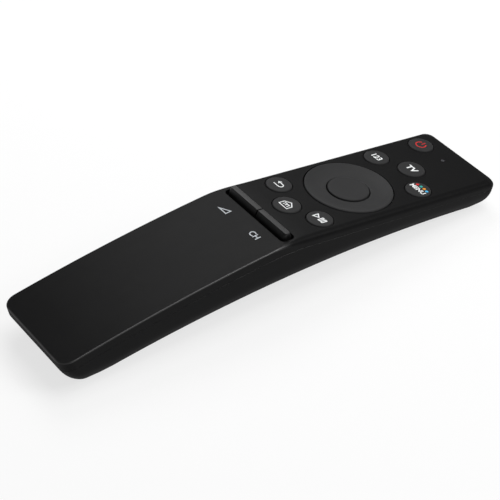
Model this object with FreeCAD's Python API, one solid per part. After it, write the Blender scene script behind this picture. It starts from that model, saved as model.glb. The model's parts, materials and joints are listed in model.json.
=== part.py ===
import FreeCAD
import Part
import math
import os

# Handheld remote control with an arched case. Sizes are in millimetres.
# It is drawn with its flat key face level at height 0 and the centre of the direction
# ring at the origin: +X to the right, +Y towards the infrared end, +Z out of the face.
# At the end it is laid on its two rest pads, with the origin below its middle.

# Case outline, seen from above
CASE_WIDTH = 35.6
RING_TO_FAR_END = 50.65
RING_TO_NEAR_END = 117.45
EDGE_ROUND = 7.0
NEAR_FOOT_SET_IN = 13.3
WALL = 1.6

# Top line: a flat key face, a bend, then a long gentle grip
RING_TO_BEND = 29.0
BEND_RADIUS = 81.0
BEND_ANGLE = 11.4
GRIP_RADIUS = 629.0

# Underside: one long arch through three thicknesses of the case, with a rest pad at each end
THICKNESS_AT_NEAR_END = 14.5
THICKNESS_AT_PADDLES = 16.6
THICKNESS_AT_FAR_END = 11.4
REST_PAD = 2.0

# Rim of the top shell, and the seam with its lip
RIM_EDGE_GRIP = 0.35
RIM_EDGE_FACE = 2.1
SEAM_DEPTH = 3.35
SEAM_GAP = 0.12
LIP_RISE = 1.2
LIP_ROOT = 1.5
LIP_SET_IN = 0.9
LIP_CLEARANCE = 0.1

# Round keys
KEY_SIDE_MARGIN = 7.0
FAR_KEY_ROW = 20.85
NEAR_KEY_ROW = 20.65
HOME_KEY_ROW = 25.6
UPPER_KEY_ROW = 27.2
POWER_KEY_ROW = 40.9
SIDE_KEY_HOLE = 4.6
CENTRE_KEY_HOLE = 4.9
KEY_CLEARANCE = 0.2
KEY_PROUD = 0.3
KEY_EDGE = 0.5
KEY_EAR_REACH = 0.8
KEY_EAR_WIDTH = 3.0
KEY_FLANGE = 0.8
SEAT_GAP = 0.05

# Direction ring, its rocker plate and the select key
RING_SIDE_MARGIN = 2.7
RING_CLEARANCE = 0.3
RING_BAND = 7.8
RING_PROUD = 0.25
RING_DISH = 1.0
RING_LUG_DEPTH = 2.35
RING_LUG = 0.65
RING_LUG_REACH = 0.4
RING_LUG_WIDTH = 5.0
PLATE_DEPTH = 3.5
PLATE_THICKNESS = 0.6
PLATE_SET_IN = 1.5
PLATE_WIDTH = 4.4
PLATE_SIDES = 8
SELECT_CLEARANCE = 0.3
SELECT_SUNK = 0.35
SELECT_FLANGE_REACH = 0.9
SELECT_FLANGE_DEPTH = 3.45

# Volume and channel paddles, each on a pin in a cradle
PADDLE_ROW = 36.25
PADDLE_SIDE_MARGIN = 2.4
PADDLE_INNER_END = 0.25
PADDLE_HEIGHT = 1.8
PADDLE_NEAR_BASE = 1.75
PADDLE_NEAR_TOP = 1.2
PADDLE_FAR_TOP = 1.4
PADDLE_FAR_BASE = 1.8
PADDLE_SKIRT = 1.3
PADDLE_BEVEL = 0.3
PADDLE_END_ROUND = 0.75
SLOT_CLEARANCE = 0.5
SLOT_END_CLEARANCE = 0.3
SLOT_CORNER = 1.5
PIVOT_DEPTH = 3.0
PIN_RADIUS = 0.6
PIN_FIT = 0.05
HUB_RADIUS = 1.15
WEB_THICKNESS = 1.4
FOOT_REACH = 4.3
FOOT_TOP_DROP = 0.15
FOOT_THICKNESS = 0.65
EAR_THICKNESS = 1.1
EAR_WIDTH = 3.2
EAR_GAP = 0.15
CRADLE_WIDTH = 3.8
CRADLE_DROP = 1.25
CRADLE_THICKNESS = 0.6

# Circuit board, rubber keypad and what the board carries
BOARD_DEPTH = 6.2
BOARD_THICKNESS = 1.0
BOARD_SIDE_MARGIN = 3.2
BOARD_FAR_MARGIN = 6.9
BOARD_BAY_GAP = 3.1
BOARD_CORNER = 3.0
PAD_THICKNESS = 0.7
PAD_SET_IN = 0.4
KEY_DOME = 3.0
RING_DOME = 2.2
SMALL_DOME = 1.25
DOME_TAPER = 0.6
RIB_SIZE = 2.0
RIB_SIDE_MARGIN = 5.6
RIB_ROW = 12.8
POST_SIZE = 2.4
POST_COLUMN = 8.0
POST_END_MARGIN = 6.0
LOCATOR_GAP = 0.1
CHIP_LENGTH = 12.8
CHIP_WIDTH = 7.5
CHIP_HEIGHT = 1.8
CHIP_LEGS = 8
CHIP_LEG_PITCH = 1.27
CAPACITOR_RADIUS = 2.5
CAPACITOR_LENGTH = 7.0
CAPACITOR_END_MARGIN = 12.5
CRYSTAL_LENGTH = 10.0
CRYSTAL_WIDTH = 4.0
CRYSTAL_HEIGHT = 3.2

# Infrared window, emitters and the indicator
WINDOW_WIDTH = 20.0
WINDOW_TOP = 2.6
WINDOW_BOTTOM = 7.4
WINDOW_GAP = 0.1
WINDOW_FLANGE = 0.9
EMITTER_SPACING = 7.0
EMITTER_RADIUS = 1.5
EMITTER_SEAT = 0.4
EMITTER_LENGTH = 4.9
EMITTER_LEAD = 0.45
EMITTER_TIP_GAP = 0.4
INDICATOR_ROW = 41.5
INDICATOR_HOLE = 0.65
INDICATOR_CHIP = 1.6

# Batteries, of the common size 10.5 mm by 44.5 mm, and their bay
BATTERY_RADIUS = 5.25
BATTERY_LENGTH = 44.5
BATTERY_NUB = 1.0
BATTERY_NUB_RADIUS = 2.7
BATTERY_CLEARANCE = 0.2
BATTERY_SPACING = 11.1
BAY_END_MARGIN = 17.2
BAY_LEAN = 1.0
BAY_LIFT = 0.1
BAY_WALL = 2.0
BAY_SIDE_WALL = 2.6
BAY_ROOF = 0.6
SPRING_SPACE = 3.4
CONTACT_THICKNESS = 0.4
CONTACT_SIZE = 7.0
SPRING_THICKNESS = 0.3
SPRING_WIDTH = 4.0
SPRING_FOLDS = 6

# Battery cover
COVER_THICKNESS = 1.3
COVER_SIDE_LEDGE = 0.35
COVER_END_LEDGE = 1.3
COVER_GAP = 0.15
COVER_CORNER = 2.0
LATCH_WIDTH = 9.0
LATCH_LENGTH = 6.0
LATCH_SLIT = 0.7
GRIP_GROOVES = 3
GRIP_GROOVE_PITCH = 1.8
GRIP_GROOVE_RADIUS = 0.5
GRIP_GROOVE_DEPTH = 0.3
PEG_SIZE = 1.6
PEG_HEIGHT = 2.0

HALF = CASE_WIDTH / 2
FAR = RING_TO_FAR_END
NEAR = -RING_TO_NEAR_END
FACE_BOTTOM = -WALL
KEY_FLANGE_TOP = FACE_BOTTOM - SEAT_GAP
KEY_FLANGE_BOTTOM = KEY_FLANGE_TOP - KEY_FLANGE
KEY_DOME_TOP = KEY_FLANGE_BOTTOM - SEAT_GAP
PLATE_BOTTOM = -PLATE_DEPTH - PLATE_THICKNESS
BOARD_TOP = -BOARD_DEPTH
BOARD_BOTTOM = BOARD_TOP - BOARD_THICKNESS
PAD_TOP = BOARD_TOP + PAD_THICKNESS
KEY_COLUMN = HALF - KEY_SIDE_MARGIN
RING_HOLE = HALF - RING_SIDE_MARGIN
RING_RIM = RING_HOLE - RING_CLEARANCE
RING_INNER = RING_HOLE - RING_BAND
RING_BOTTOM = -RING_LUG_DEPTH - RING_LUG
PLATE_OUTER = RING_RIM - PLATE_SET_IN
PLATE_INNER = PLATE_OUTER - PLATE_WIDTH
PADDLE_OUTER_END = HALF - PADDLE_SIDE_MARGIN
RIB_COLUMN = HALF - RIB_SIDE_MARGIN
BEYOND = 5.0
TALL = 2 * CASE_WIDTH

WELL_HALF = (BATTERY_LENGTH + SPRING_SPACE + 2 * (CONTACT_THICKNESS + SEAT_GAP)) / 2 + SEAT_GAP
WELL_RADIUS = BATTERY_RADIUS + BATTERY_CLEARANCE
BATTERY_HEIGHT = COVER_THICKNESS + BATTERY_CLEARANCE + BATTERY_RADIUS
OPENING_HALF = BATTERY_SPACING / 2 + WELL_RADIUS
COVER_HALF_WIDTH = OPENING_HALF + COVER_SIDE_LEDGE
COVER_HALF_LENGTH = WELL_HALF + COVER_END_LEDGE
BAY_MIDDLE = RING_TO_NEAR_END - BAY_END_MARGIN - COVER_HALF_LENGTH

BOARD_HALF_WIDTH = HALF - BOARD_SIDE_MARGIN
BOARD_FAR_END = FAR - BOARD_FAR_MARGIN
BOARD_NEAR_END = BAY_MIDDLE - WELL_HALF - BAY_WALL - BOARD_BAY_GAP

KEYS = (
    ("power_button", -KEY_COLUMN, POWER_KEY_ROW, SIDE_KEY_HOLE),
    ("number_button", -KEY_COLUMN, FAR_KEY_ROW, SIDE_KEY_HOLE),
    ("upper_button", 0.0, UPPER_KEY_ROW, CENTRE_KEY_HOLE),
    ("colour_button", KEY_COLUMN, FAR_KEY_ROW, SIDE_KEY_HOLE),
    ("return_button", -KEY_COLUMN, -NEAR_KEY_ROW, SIDE_KEY_HOLE),
    ("home_button", 0.0, -HOME_KEY_ROW, CENTRE_KEY_HOLE),
    ("play_button", KEY_COLUMN, -NEAR_KEY_ROW, SIDE_KEY_HOLE),
)
RIBS = tuple((x, y) for x in (-RIB_COLUMN, RIB_COLUMN) for y in (-RIB_ROW, RIB_ROW))
POST_ROWS = (BOARD_FAR_END - POST_END_MARGIN, POST_END_MARGIN - BOARD_NEAR_END)
POSTS = tuple((x, y) for x in (-POST_COLUMN, POST_COLUMN) for y in POST_ROWS)
LOCATORS = ((-POST_SIZE / 2 - RIB_COLUMN, 0.0), (POST_SIZE / 2 + RIB_COLUMN, 0.0))


def vec(x, y, z):
    return FreeCAD.Vector(x, y, z)


def box(x0, x1, y0, y1, z0, z1):
    return Part.makeBox(x1 - x0, y1 - y0, z1 - z0, vec(x0, y0, z0))


def post(x, y, radius, z0, z1):
    """Upright cylinder."""
    return Part.makeCylinder(radius, z1 - z0, vec(x, y, z0))


def join(first, *others):
    """Pieces melted into one clean solid."""
    return first.fuse(list(others)).removeSplitter()


def turned(points):
    """Solid of revolution about the Z axis from a closed outline of (radius, height) points."""
    outline = [vec(radius, 0, height) for radius, height in points]
    face = Part.Face(Part.makePolygon(outline + outline[:1]))
    return face.revolve(vec(0, 0, 0), vec(0, 0, 1), 360)


def moved(shape, x, y, z):
    copy = shape.copy()
    copy.translate(vec(x, y, z))
    return copy


def rounded_block(x0, x1, y0, y1, radius, z0, z1):
    """Upright block with four rounded corners."""
    block = box(x0, x1, y0, y1, z0, z1)
    upright = [edge for edge in block.Edges if abs(edge.tangentAt(0).z) > 0.5]
    return block.makeFillet(radius, upright)


def bend_centre():
    return vec(0, -RING_TO_BEND, -BEND_RADIUS)


def grip_centre():
    angle = math.radians(BEND_ANGLE)
    outward = vec(0, -math.sin(angle), math.cos(angle))
    return bend_centre() - outward * (GRIP_RADIUS - BEND_RADIUS)


def bend_end(depth):
    """Where the bend meets the grip on the top line lowered by a depth."""
    return -RING_TO_BEND - (BEND_RADIUS - depth) * math.sin(math.radians(BEND_ANGLE))


def circle_height(centre, radius, y):
    """Height of the upper half of a circle above a place on the Y axis."""
    return centre.z + math.sqrt(radius ** 2 - (y - centre.y) ** 2)


def top_height(y, depth=0.0):
    """Height of the top line, lowered square to itself by a depth."""
    if y >= -RING_TO_BEND:
        return -depth
    if y >= bend_end(depth):
        return circle_height(bend_centre(), BEND_RADIUS - depth, y)
    return circle_height(grip_centre(), GRIP_RADIUS - depth, y)


def arc_on(centre, radius, y0, y1):
    """Arc on the upper half of a circle between two places on the Y axis."""
    points = [vec(0, y, circle_height(centre, radius, y)) for y in (y0, (y0 + y1) / 2, y1)]
    return Part.Arc(*points).toShape()


def line(start, end):
    return Part.LineSegment(start, end).toShape()


def top_edges(depth, near_y, far_y):
    """Edges of the lowered top line between two places on the Y axis."""
    flat = line(vec(0, far_y, -depth), vec(0, -RING_TO_BEND, -depth))
    bend = arc_on(bend_centre(), BEND_RADIUS - depth, -RING_TO_BEND, bend_end(depth))
    grip = arc_on(grip_centre(), GRIP_RADIUS - depth, bend_end(depth), near_y)
    return [flat, bend, grip]


def prism(edges, x0, x1):
    """Solid drawn across the case from a closed side outline."""
    face = Part.Face(Part.Wire(Part.__sortEdges__(edges)))
    face.translate(vec(x0, 0, 0))
    return face.extrude(vec(x1 - x0, 0, 0))


def layer(shallow, deep):
    """Layer between two depths below the top line, open past the walls of the case."""
    near_y = NEAR - BEYOND
    far_y = FAR + BEYOND
    edges = top_edges(shallow, near_y, far_y) + top_edges(deep, near_y, far_y)
    for y in (near_y, far_y):
        edges.append(line(vec(0, y, top_height(y, shallow)), vec(0, y, top_height(y, deep))))
    return prism(edges, -HALF - BEYOND, HALF + BEYOND)


def arch():
    """Circle of the underside, through the three thicknesses of the case."""
    stations = (
        (NEAR, THICKNESS_AT_NEAR_END),
        (-PADDLE_ROW, THICKNESS_AT_PADDLES),
        (FAR, THICKNESS_AT_FAR_END),
    )
    points = [vec(0, y, top_height(y) - thickness) for y, thickness in stations]
    return Part.Arc(*points).toShape().Curve


ARCH_CENTRE = arch().Center
ARCH_RADIUS = arch().Radius


def foot_centre(end_y):
    """Centre of the curve between a rest pad and the arch."""
    set_in = EDGE_ROUND if end_y > 0 else NEAR_FOOT_SET_IN
    y = end_y - math.copysign(set_in + REST_PAD, end_y)
    return vec(0, y, circle_height(ARCH_CENTRE, ARCH_RADIUS + EDGE_ROUND, y))


def tilt_angle():
    """Angle between the key face and the table, which touches both feet, in degrees."""
    step = foot_centre(FAR) - foot_centre(NEAR)
    return math.degrees(math.atan2(step.z, step.y))


def curl_centre(end_y):
    """Centre of an end curl, between the end wall and the flat rest pad."""
    out = math.copysign(REST_PAD, end_y)
    return foot_centre(end_y) + vec(0, out, out * math.tan(math.radians(tilt_angle())))


def wall_way(end_y):
    """Way out of an end wall, which runs from the end of the face to the curl below it."""
    corner = vec(0, end_y, top_height(end_y))
    reach = curl_centre(end_y) - corner
    lean = math.acos(EDGE_ROUND / reach.Length)
    angle = math.atan2(-reach.z, -reach.y) - math.copysign(lean, end_y)
    return vec(0, math.cos(angle), math.sin(angle))


def curl_arc(centre, radius, start_way, end_way):
    """Arc about a centre from one direction to another."""
    ways = (start_way, (start_way + end_way).normalize(), end_way)
    return Part.Arc(*[centre + way * radius for way in ways]).toShape()


def underside_edges(inset):
    """Arch, rest pads and end curls, set in by a distance."""
    angle = math.radians(tilt_angle())
    down = vec(0, math.sin(angle), -math.cos(angle))
    edges = []
    touches = []
    for end_y in (NEAR, FAR):
        foot = foot_centre(end_y)
        arch_way = (ARCH_CENTRE - foot).normalize()
        curl_edge = curl_arc(curl_centre(end_y), EDGE_ROUND - inset, wall_way(end_y), down)
        foot_edge = curl_arc(foot, EDGE_ROUND - inset, down, arch_way)
        pad = line(curl_edge.lastVertex().Point, foot_edge.firstVertex().Point)
        edges += [curl_edge, pad, foot_edge]
        touches.append(foot_edge.lastVertex().Point.y)
    return edges + [arc_on(ARCH_CENTRE, ARCH_RADIUS + inset, *touches)]


def case_block(inset, top_depth):
    """Body of the case below a depth, set in from its underside and walls.

    The outside has round edges. Inside, a flat bevel keeps the same wall.
    """
    edges = underside_edges(inset)
    tops = [wall_top(end_y, inset) for end_y in (NEAR, FAR)]
    for end_y, top in zip((NEAR, FAR), tops):
        start = curl_centre(end_y) + wall_way(end_y) * (EDGE_ROUND - inset)
        edges.append(line(start, top))
    half_width = HALF - inset
    block = prism(edges + [line(*tops)], -half_width, half_width)
    edges = side_edges(block, half_width)
    if inset == 0:
        block = block.makeFillet(EDGE_ROUND, edges)
    else:
        block = block.makeChamfer((EDGE_ROUND - inset) * (2 - math.sqrt(2)), edges)
    return block.common(below(top_depth)).Solids[0]


def wall_top(end_y, inset):
    """Point where an end wall, set in by a distance and carried on upwards, meets a line above the case."""
    way = wall_way(end_y)
    start = curl_centre(end_y) + way * (EDGE_ROUND - inset)
    rise = BEYOND - start.z
    return start + vec(0, -way.z, way.y) * (rise / way.y)


def below(depth):
    """All space that is deeper than a depth below the top line."""
    near = vec(0, NEAR - BEYOND, top_height(NEAR - BEYOND, depth))
    far = vec(0, FAR + BEYOND, top_height(FAR + BEYOND, depth))
    corners = [near, vec(0, near.y, -TALL), vec(0, far.y, -TALL), far]
    edges = top_edges(depth, near.y, far.y) + [line(*pair) for pair in zip(corners, corners[1:])]
    return prism(edges, -HALF - BEYOND, HALF + BEYOND)


def middle_of(edge):
    return edge.valueAt((edge.FirstParameter + edge.LastParameter) / 2)


def side_edges(block, half_width):
    """Edges along both flat sides of a block, without those of its top."""
    chosen = []
    for edge in block.Edges:
        middle = middle_of(edge)
        on_side = abs(abs(middle.x) - half_width) < 1e-4
        if on_side and middle.z < BEYOND - 1e-2:
            chosen.append(edge)
    return chosen


def face_rim(block, depth):
    """Outer loop of edges that lies at a depth below the top line."""
    chosen = []
    for edge in block.Edges:
        first, last = edge.ParameterRange
        spots = [edge.valueAt(first + (last - first) * part) for part in (0.1, 0.5, 0.9)]
        level = all(abs(spot.z - top_height(spot.y, depth)) < 2e-3 for spot in spots)
        across = abs(spots[0].y - spots[2].y) < 1e-6
        inland = NEAR + EDGE_ROUND < spots[1].y < FAR - EDGE_ROUND
        if level and not (across and inland):
            chosen.append(edge)
    return chosen


def rim_edge_radius(y):
    """Rounding of the rim: soft beside the keys, crisp along the grip."""
    return RIM_EDGE_FACE if y > -RING_TO_BEND - 1.0 else RIM_EDGE_GRIP


def soften_rim(body):
    """Round the edge of the face with a radius that fades along the bend."""
    wanted = face_rim(body, 0.0)
    rows = []
    for number, edge in enumerate(body.Edges, 1):
        if any(edge.isSame(other) for other in wanted):
            ends = [edge.valueAt(place).y for place in edge.ParameterRange]
            on_bend = bend_end(0.0) - 1.0 < min(ends) and max(ends) < 1.0 - RING_TO_BEND
            places = ends if on_bend else [middle_of(edge).y] * 2
            rows.append((number, *[rim_edge_radius(y) for y in places]))
    document = FreeCAD.newDocument("rim")
    base = document.addObject("Part::Feature", "base")
    base.Shape = body
    rounded = document.addObject("Part::Fillet", "rounded")
    rounded.Base = base
    rounded.Edges = rows
    document.recompute()
    return rounded.Shape.Solids[0]


def top_body():
    """Solid form of the top shell: the face with its rounded rim, down to the seam."""
    return soften_rim(case_block(0.0, 0.0).common(layer(0.0, SEAM_DEPTH)).Solids[0])


def slot_block(z0, z1):
    """Slot that both paddles stand in."""
    end = PADDLE_OUTER_END + SLOT_END_CLEARANCE
    near = -PADDLE_ROW - PADDLE_NEAR_BASE - SLOT_CLEARANCE
    far = -PADDLE_ROW + PADDLE_FAR_BASE + SLOT_CLEARANCE
    return rounded_block(-end, end, near, far, SLOT_CORNER, z0, z1)


def window_block(gap, y0):
    """Space of the infrared window through the far wall."""
    half = WINDOW_WIDTH / 2 - gap
    return box(-half, half, y0, FAR + BEYOND, gap - WINDOW_BOTTOM, -gap - WINDOW_TOP)


def face_openings():
    """Everything that is cut through the face of the top shell."""
    low = FACE_BOTTOM - BEYOND
    holes = [post(x, y, radius, low, BEYOND) for _, x, y, radius in KEYS]
    holes.append(post(0, 0, RING_HOLE, low, BEYOND))
    holes.append(post(0, INDICATOR_ROW, INDICATOR_HOLE, low, BEYOND))
    holes.append(slot_block(low, BEYOND))
    return holes


def column(x, y, size, z0, z1):
    """Upright square column."""
    half = size / 2
    return box(x - half, x + half, y - half, y + half, z0, z1)


def top_shell(body):
    room = layer(WALL, SEAM_DEPTH + BEYOND).common(case_block(WALL, 0.0))
    groove_top = SEAM_DEPTH - LIP_RISE - LIP_CLEARANCE
    groove = layer(groove_top, SEAM_DEPTH + BEYOND).common(case_block(LIP_SET_IN - LIP_CLEARANCE, 0.0))
    ribs = [column(x, y, RIB_SIZE, PAD_TOP + SEAT_GAP, -WALL / 2) for x, y in RIBS]
    shell = join(body.cut([room, groove]), *ribs)
    return shell.cut(face_openings() + [window_block(0.0, FAR - EDGE_ROUND)])


def seam_lip():
    """Lip of the bottom shell that stands inside the seam."""
    band = layer(SEAM_DEPTH - LIP_RISE, SEAM_DEPTH + LIP_ROOT)
    return band.common(case_block(LIP_SET_IN, 0.0)).cut(case_block(WALL, 0.0))


def board_posts():
    """Posts from the floor of the case up to the board, and two that stand in its notches."""
    low = -2 * BOARD_DEPTH - BEYOND
    inside = case_block(WALL / 2, WALL)
    posts = [column(x, y, POST_SIZE, low, BOARD_BOTTOM - SEAT_GAP) for x, y in POSTS]
    posts += [column(x, y, POST_SIZE, low, BOARD_TOP - LOCATOR_GAP) for x, y in LOCATORS]
    return [item.common(inside) for item in posts]


def bay_angle():
    """Slope of the battery bay: that of the underside there, and a slight lean."""
    return math.degrees(math.asin((ARCH_CENTRE.y + BAY_MIDDLE) / ARCH_RADIUS)) + BAY_LEAN


def in_bay(shape):
    """Move a piece drawn in the bay's own axes to its place in the case.

    In the bay's axes +Z points into the case, nearly square to the underside, and height 0
    is near the outside of the case at the middle of the bay.
    """
    copy = shape.copy()
    copy.rotate(vec(0, 0, 0), vec(1, 0, 0), bay_angle())
    height = circle_height(ARCH_CENTRE, ARCH_RADIUS, -BAY_MIDDLE)
    copy.translate(vec(0, -BAY_MIDDLE, height + BAY_LIFT))
    return copy


def along_bay(radius, y0, y1, x, z=BATTERY_HEIGHT):
    """Cylinder along the batteries, in the bay's own axes."""
    return Part.makeCylinder(radius, y1 - y0, vec(x, y0, z), vec(0, 1, 0))


def bay_tray():
    """Walls and roof around the batteries, kept clear of the top shell."""
    half_width = OPENING_HALF + BAY_SIDE_WALL
    half_length = WELL_HALF + BAY_WALL
    roof = BATTERY_HEIGHT + WELL_RADIUS + BAY_ROOF
    block = in_bay(box(-half_width, half_width, -half_length, half_length, -BEYOND, roof))
    return block.common(case_block(WALL / 2, WALL + LIP_CLEARANCE))


def bay_wells():
    """The battery space, open through the underside."""
    wells = [
        along_bay(WELL_RADIUS, -WELL_HALF, WELL_HALF, side * BATTERY_SPACING / 2) for side in (-1, 1)
    ]
    mouth = box(-OPENING_HALF, OPENING_HALF, -WELL_HALF, WELL_HALF, -BEYOND, BATTERY_HEIGHT)
    depth = CONTACT_THICKNESS + 2 * SEAT_GAP
    top = BATTERY_HEIGHT + CONTACT_SIZE / 2 + SEAT_GAP
    pockets = [
        box(-OPENING_HALF, OPENING_HALF, y, y + depth, -BEYOND, top)
        for y in (-WELL_HALF, WELL_HALF - depth)
    ]
    return [in_bay(item) for item in wells + [mouth] + pockets]


def cover_block(gap):
    """Upright outline of the cover, in the bay's own axes."""
    return rounded_block(
        gap - COVER_HALF_WIDTH, COVER_HALF_WIDTH - gap,
        gap - COVER_HALF_LENGTH, COVER_HALF_LENGTH - gap,
        COVER_CORNER - gap, -BEYOND, BEYOND
    )


def cover_pegs(clearance):
    """Two pegs at the far end of the cover that stand in slots of the bay wall, both placed."""
    half_x = PEG_SIZE / 2 + clearance
    half_y = PEG_SIZE / 4 + clearance
    x = COVER_HALF_WIDTH - COVER_CORNER - PEG_SIZE / 2
    y = COVER_HALF_LENGTH - COVER_GAP - PEG_SIZE / 4 - LIP_CLEARANCE
    top = COVER_THICKNESS + PEG_HEIGHT + clearance
    inside = case_block(COVER_THICKNESS / 2, WALL)
    pegs = [
        box(side * x - half_x, side * x + half_x, y - half_y, y + half_y, -BEYOND, top)
        for side in (-1, 1)
    ]
    return [in_bay(peg).common(inside) for peg in pegs]


def on_table(point):
    """A point turned with the case onto the table, before it is lifted and centred."""
    angle = math.radians(-tilt_angle())
    y = point.y * math.cos(angle) - point.z * math.sin(angle)
    z = point.y * math.sin(angle) + point.z * math.cos(angle)
    return vec(point.x, y, z)


def rim_centre(end_y, face_centre, radius):
    """Centre of the rim's rounding at an end of a face that curves about a centre."""
    corner = vec(0, end_y, top_height(end_y))
    up = (corner - face_centre).normalize()
    out = wall_way(end_y)
    return corner - (up + out) * (radius / (1 + up.dot(out)))


def table_shift():
    """Shift that puts the rest pads at height 0 and the middle of the length at Y 0."""
    near = on_table(rim_centre(NEAR, grip_centre(), RIM_EDGE_GRIP)).y - RIM_EDGE_GRIP
    far = on_table(rim_centre(FAR, vec(0, FAR, -TALL), RIM_EDGE_FACE)).y + RIM_EDGE_FACE
    return vec(0, -(near + far) / 2, EDGE_ROUND - on_table(curl_centre(NEAR)).z)


def placed(shape):
    """Lay a piece on the table with the rest of the remote."""
    copy = shape.copy()
    copy.rotate(vec(0, 0, 0), vec(1, 0, 0), -tilt_angle())
    copy.translate(table_shift())
    return copy


def bottom_shell():
    shell = case_block(0.0, SEAM_DEPTH + SEAM_GAP).cut(case_block(WALL, WALL))
    shell = join(shell, seam_lip(), bay_tray(), *board_posts())
    recess = in_bay(cover_block(0.0)).cut(case_block(COVER_THICKNESS + SEAT_GAP, WALL))
    window = window_block(0.0, FAR - EDGE_ROUND)
    return shell.cut(bay_wells() + [recess, window] + cover_pegs(LIP_CLEARANCE))


def latch_slits():
    """U-shaped slit that frees the latch at the near end of the cover."""
    half = LATCH_WIDTH / 2
    y0 = -COVER_HALF_LENGTH - LATCH_SLIT
    y1 = -COVER_HALF_LENGTH + LATCH_LENGTH
    return [box(x, x + LATCH_SLIT, y0, y1, -BEYOND, BEYOND) for x in (-half - LATCH_SLIT, half)]


def grip_grooves():
    """Shallow finger grooves across the latch."""
    low = GRIP_GROOVE_RADIUS - GRIP_GROOVE_DEPTH
    half = LATCH_WIDTH / 2 - 2 * GRIP_GROOVE_RADIUS
    first = -COVER_HALF_LENGTH + LATCH_LENGTH + GRIP_GROOVE_PITCH
    grooves = []
    for index in range(GRIP_GROOVES):
        y = first + index * GRIP_GROOVE_PITCH
        height = circle_height(ARCH_CENTRE, ARCH_RADIUS, y - BAY_MIDDLE)
        offset = height - circle_height(ARCH_CENTRE, ARCH_RADIUS, -BAY_MIDDLE) - BAY_LIFT
        sag = offset - y * math.tan(math.radians(bay_angle()))
        start = vec(-half, y, sag - low)
        grooves.append(Part.makeCylinder(GRIP_GROOVE_RADIUS, 2 * half, start, vec(1, 0, 0)))
    return grooves


def battery_cover():
    skin = case_block(0.0, WALL).cut(case_block(COVER_THICKNESS, WALL))
    cover = skin.common(in_bay(cover_block(COVER_GAP)))
    cover = join(cover, *cover_pegs(0.0))
    return cover.cut([in_bay(cut) for cut in latch_slits() + grip_grooves()])


def battery(side):
    """One cell; its nub points to the far end on one side and to the near end on the other."""
    x = side * BATTERY_SPACING / 2
    tip = WELL_HALF - 2 * SEAT_GAP - CONTACT_THICKNESS
    shoulder = tip - BATTERY_NUB
    can = along_bay(BATTERY_RADIUS, tip - BATTERY_LENGTH, shoulder, x)
    cell = join(can, along_bay(BATTERY_NUB_RADIUS, shoulder - 0.1, tip, x))
    if side > 0:
        cell.rotate(vec(x, 0, 0), vec(0, 0, 1), 180)
    return in_bay(cell)


def contact_plate(x0, x1, side):
    """Thin contact against an end wall of the bay."""
    half = CONTACT_SIZE / 2
    ends = sorted((side * (WELL_HALF - SEAT_GAP), side * (WELL_HALF - SEAT_GAP - CONTACT_THICKNESS)))
    plate = box(x0, x1, *ends, BATTERY_HEIGHT - half, BATTERY_HEIGHT + half)
    return in_bay(plate)


def contacts():
    """A bridge at the near end and a plate for each cell at the far end."""
    x = BATTERY_SPACING / 2
    half = CONTACT_SIZE / 2
    bridge = contact_plate(-x - half, x + half, -1)
    return [bridge, contact_plate(-x - half, half - x, 1), contact_plate(x - half, x + half, 1)]


def bow(radius, centre_y):
    """Points of a bow about a centre, in the plane across the spring strip."""
    points = []
    for index in range(SPRING_FOLDS + 1):
        angle = math.pi * (index / SPRING_FOLDS - 0.5)
        points.append(vec(0, centre_y + radius * math.cos(angle), radius * math.sin(angle)))
    return points


def contact_spring(side):
    """Bowed spring strip between a contact and the flat end of a cell."""
    radius = SPRING_SPACE - 2 * SEAT_GAP
    corners = bow(radius, 0.0) + bow(radius - SPRING_THICKNESS, 0.0)[::-1]
    edges = [line(start, end) for start, end in zip(corners, corners[1:] + corners[:1])]
    strip = prism(edges, -SPRING_WIDTH / 2, SPRING_WIDTH / 2)
    strip.translate(vec(0, 2 * SEAT_GAP + CONTACT_THICKNESS - WELL_HALF, 0))
    if side > 0:
        strip.rotate(vec(0, 0, 0), vec(0, 0, 1), 180)
    strip.translate(vec(side * BATTERY_SPACING / 2, 0, BATTERY_HEIGHT))
    return in_bay(strip)


def infrared_window(body):
    """Window that carries on the curve of the far end, with a flange inside the wall."""
    case = body.fuse(case_block(0.0, SEAM_DEPTH))
    pane = case.common(window_block(WINDOW_GAP, FAR - EDGE_ROUND)).cut(case_block(WALL, WALL))
    half = WINDOW_WIDTH / 2 + WINDOW_FLANGE
    inner_wall = FAR - WALL - WINDOW_GAP
    bottom = curl_centre(FAR).z - WALL / 2
    flange = box(-half, half, inner_wall - WINDOW_FLANGE, inner_wall, bottom, -WALL - 2 * WINDOW_GAP)
    stub = window_block(WINDOW_GAP, inner_wall - WINDOW_FLANGE).common(
        box(-half, half, inner_wall - WINDOW_FLANGE, FAR - WALL, bottom, 0.0)
    )
    return join(pane, flange, stub)


def emitter(x):
    """Infrared emitter lying over the board behind the window, with its two bent leads."""
    z = BOARD_TOP + EMITTER_RADIUS + EMITTER_SEAT
    tip = FAR - WALL - WINDOW_GAP - WINDOW_FLANGE - EMITTER_TIP_GAP
    base = tip - EMITTER_LENGTH
    barrel = Part.makeCylinder(EMITTER_RADIUS, EMITTER_LENGTH, vec(x, base, z), vec(0, 1, 0))
    half = EMITTER_LEAD / 2
    bend = base - EMITTER_RADIUS
    leads = []
    for lead_x in (x - EMITTER_RADIUS / 2, x + EMITTER_RADIUS / 2):
        leads.append(box(lead_x - half, lead_x + half, bend, base + half, z - half, z + half))
        leads.append(column(lead_x, bend + half, EMITTER_LEAD, BOARD_TOP, z + half))
    return join(barrel, *leads)


def indicator_lens():
    """Light pipe from the small hole in the face down to the lamp on the board."""
    lamp_top = BOARD_TOP + INDICATOR_CHIP / 2
    return post(0, INDICATOR_ROW, INDICATOR_HOLE - SEAT_GAP, lamp_top + SEAT_GAP, -SEAT_GAP)


def indicator_lamp():
    return column(0, INDICATOR_ROW, INDICATOR_CHIP, BOARD_TOP, BOARD_TOP + INDICATOR_CHIP / 2)


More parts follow.
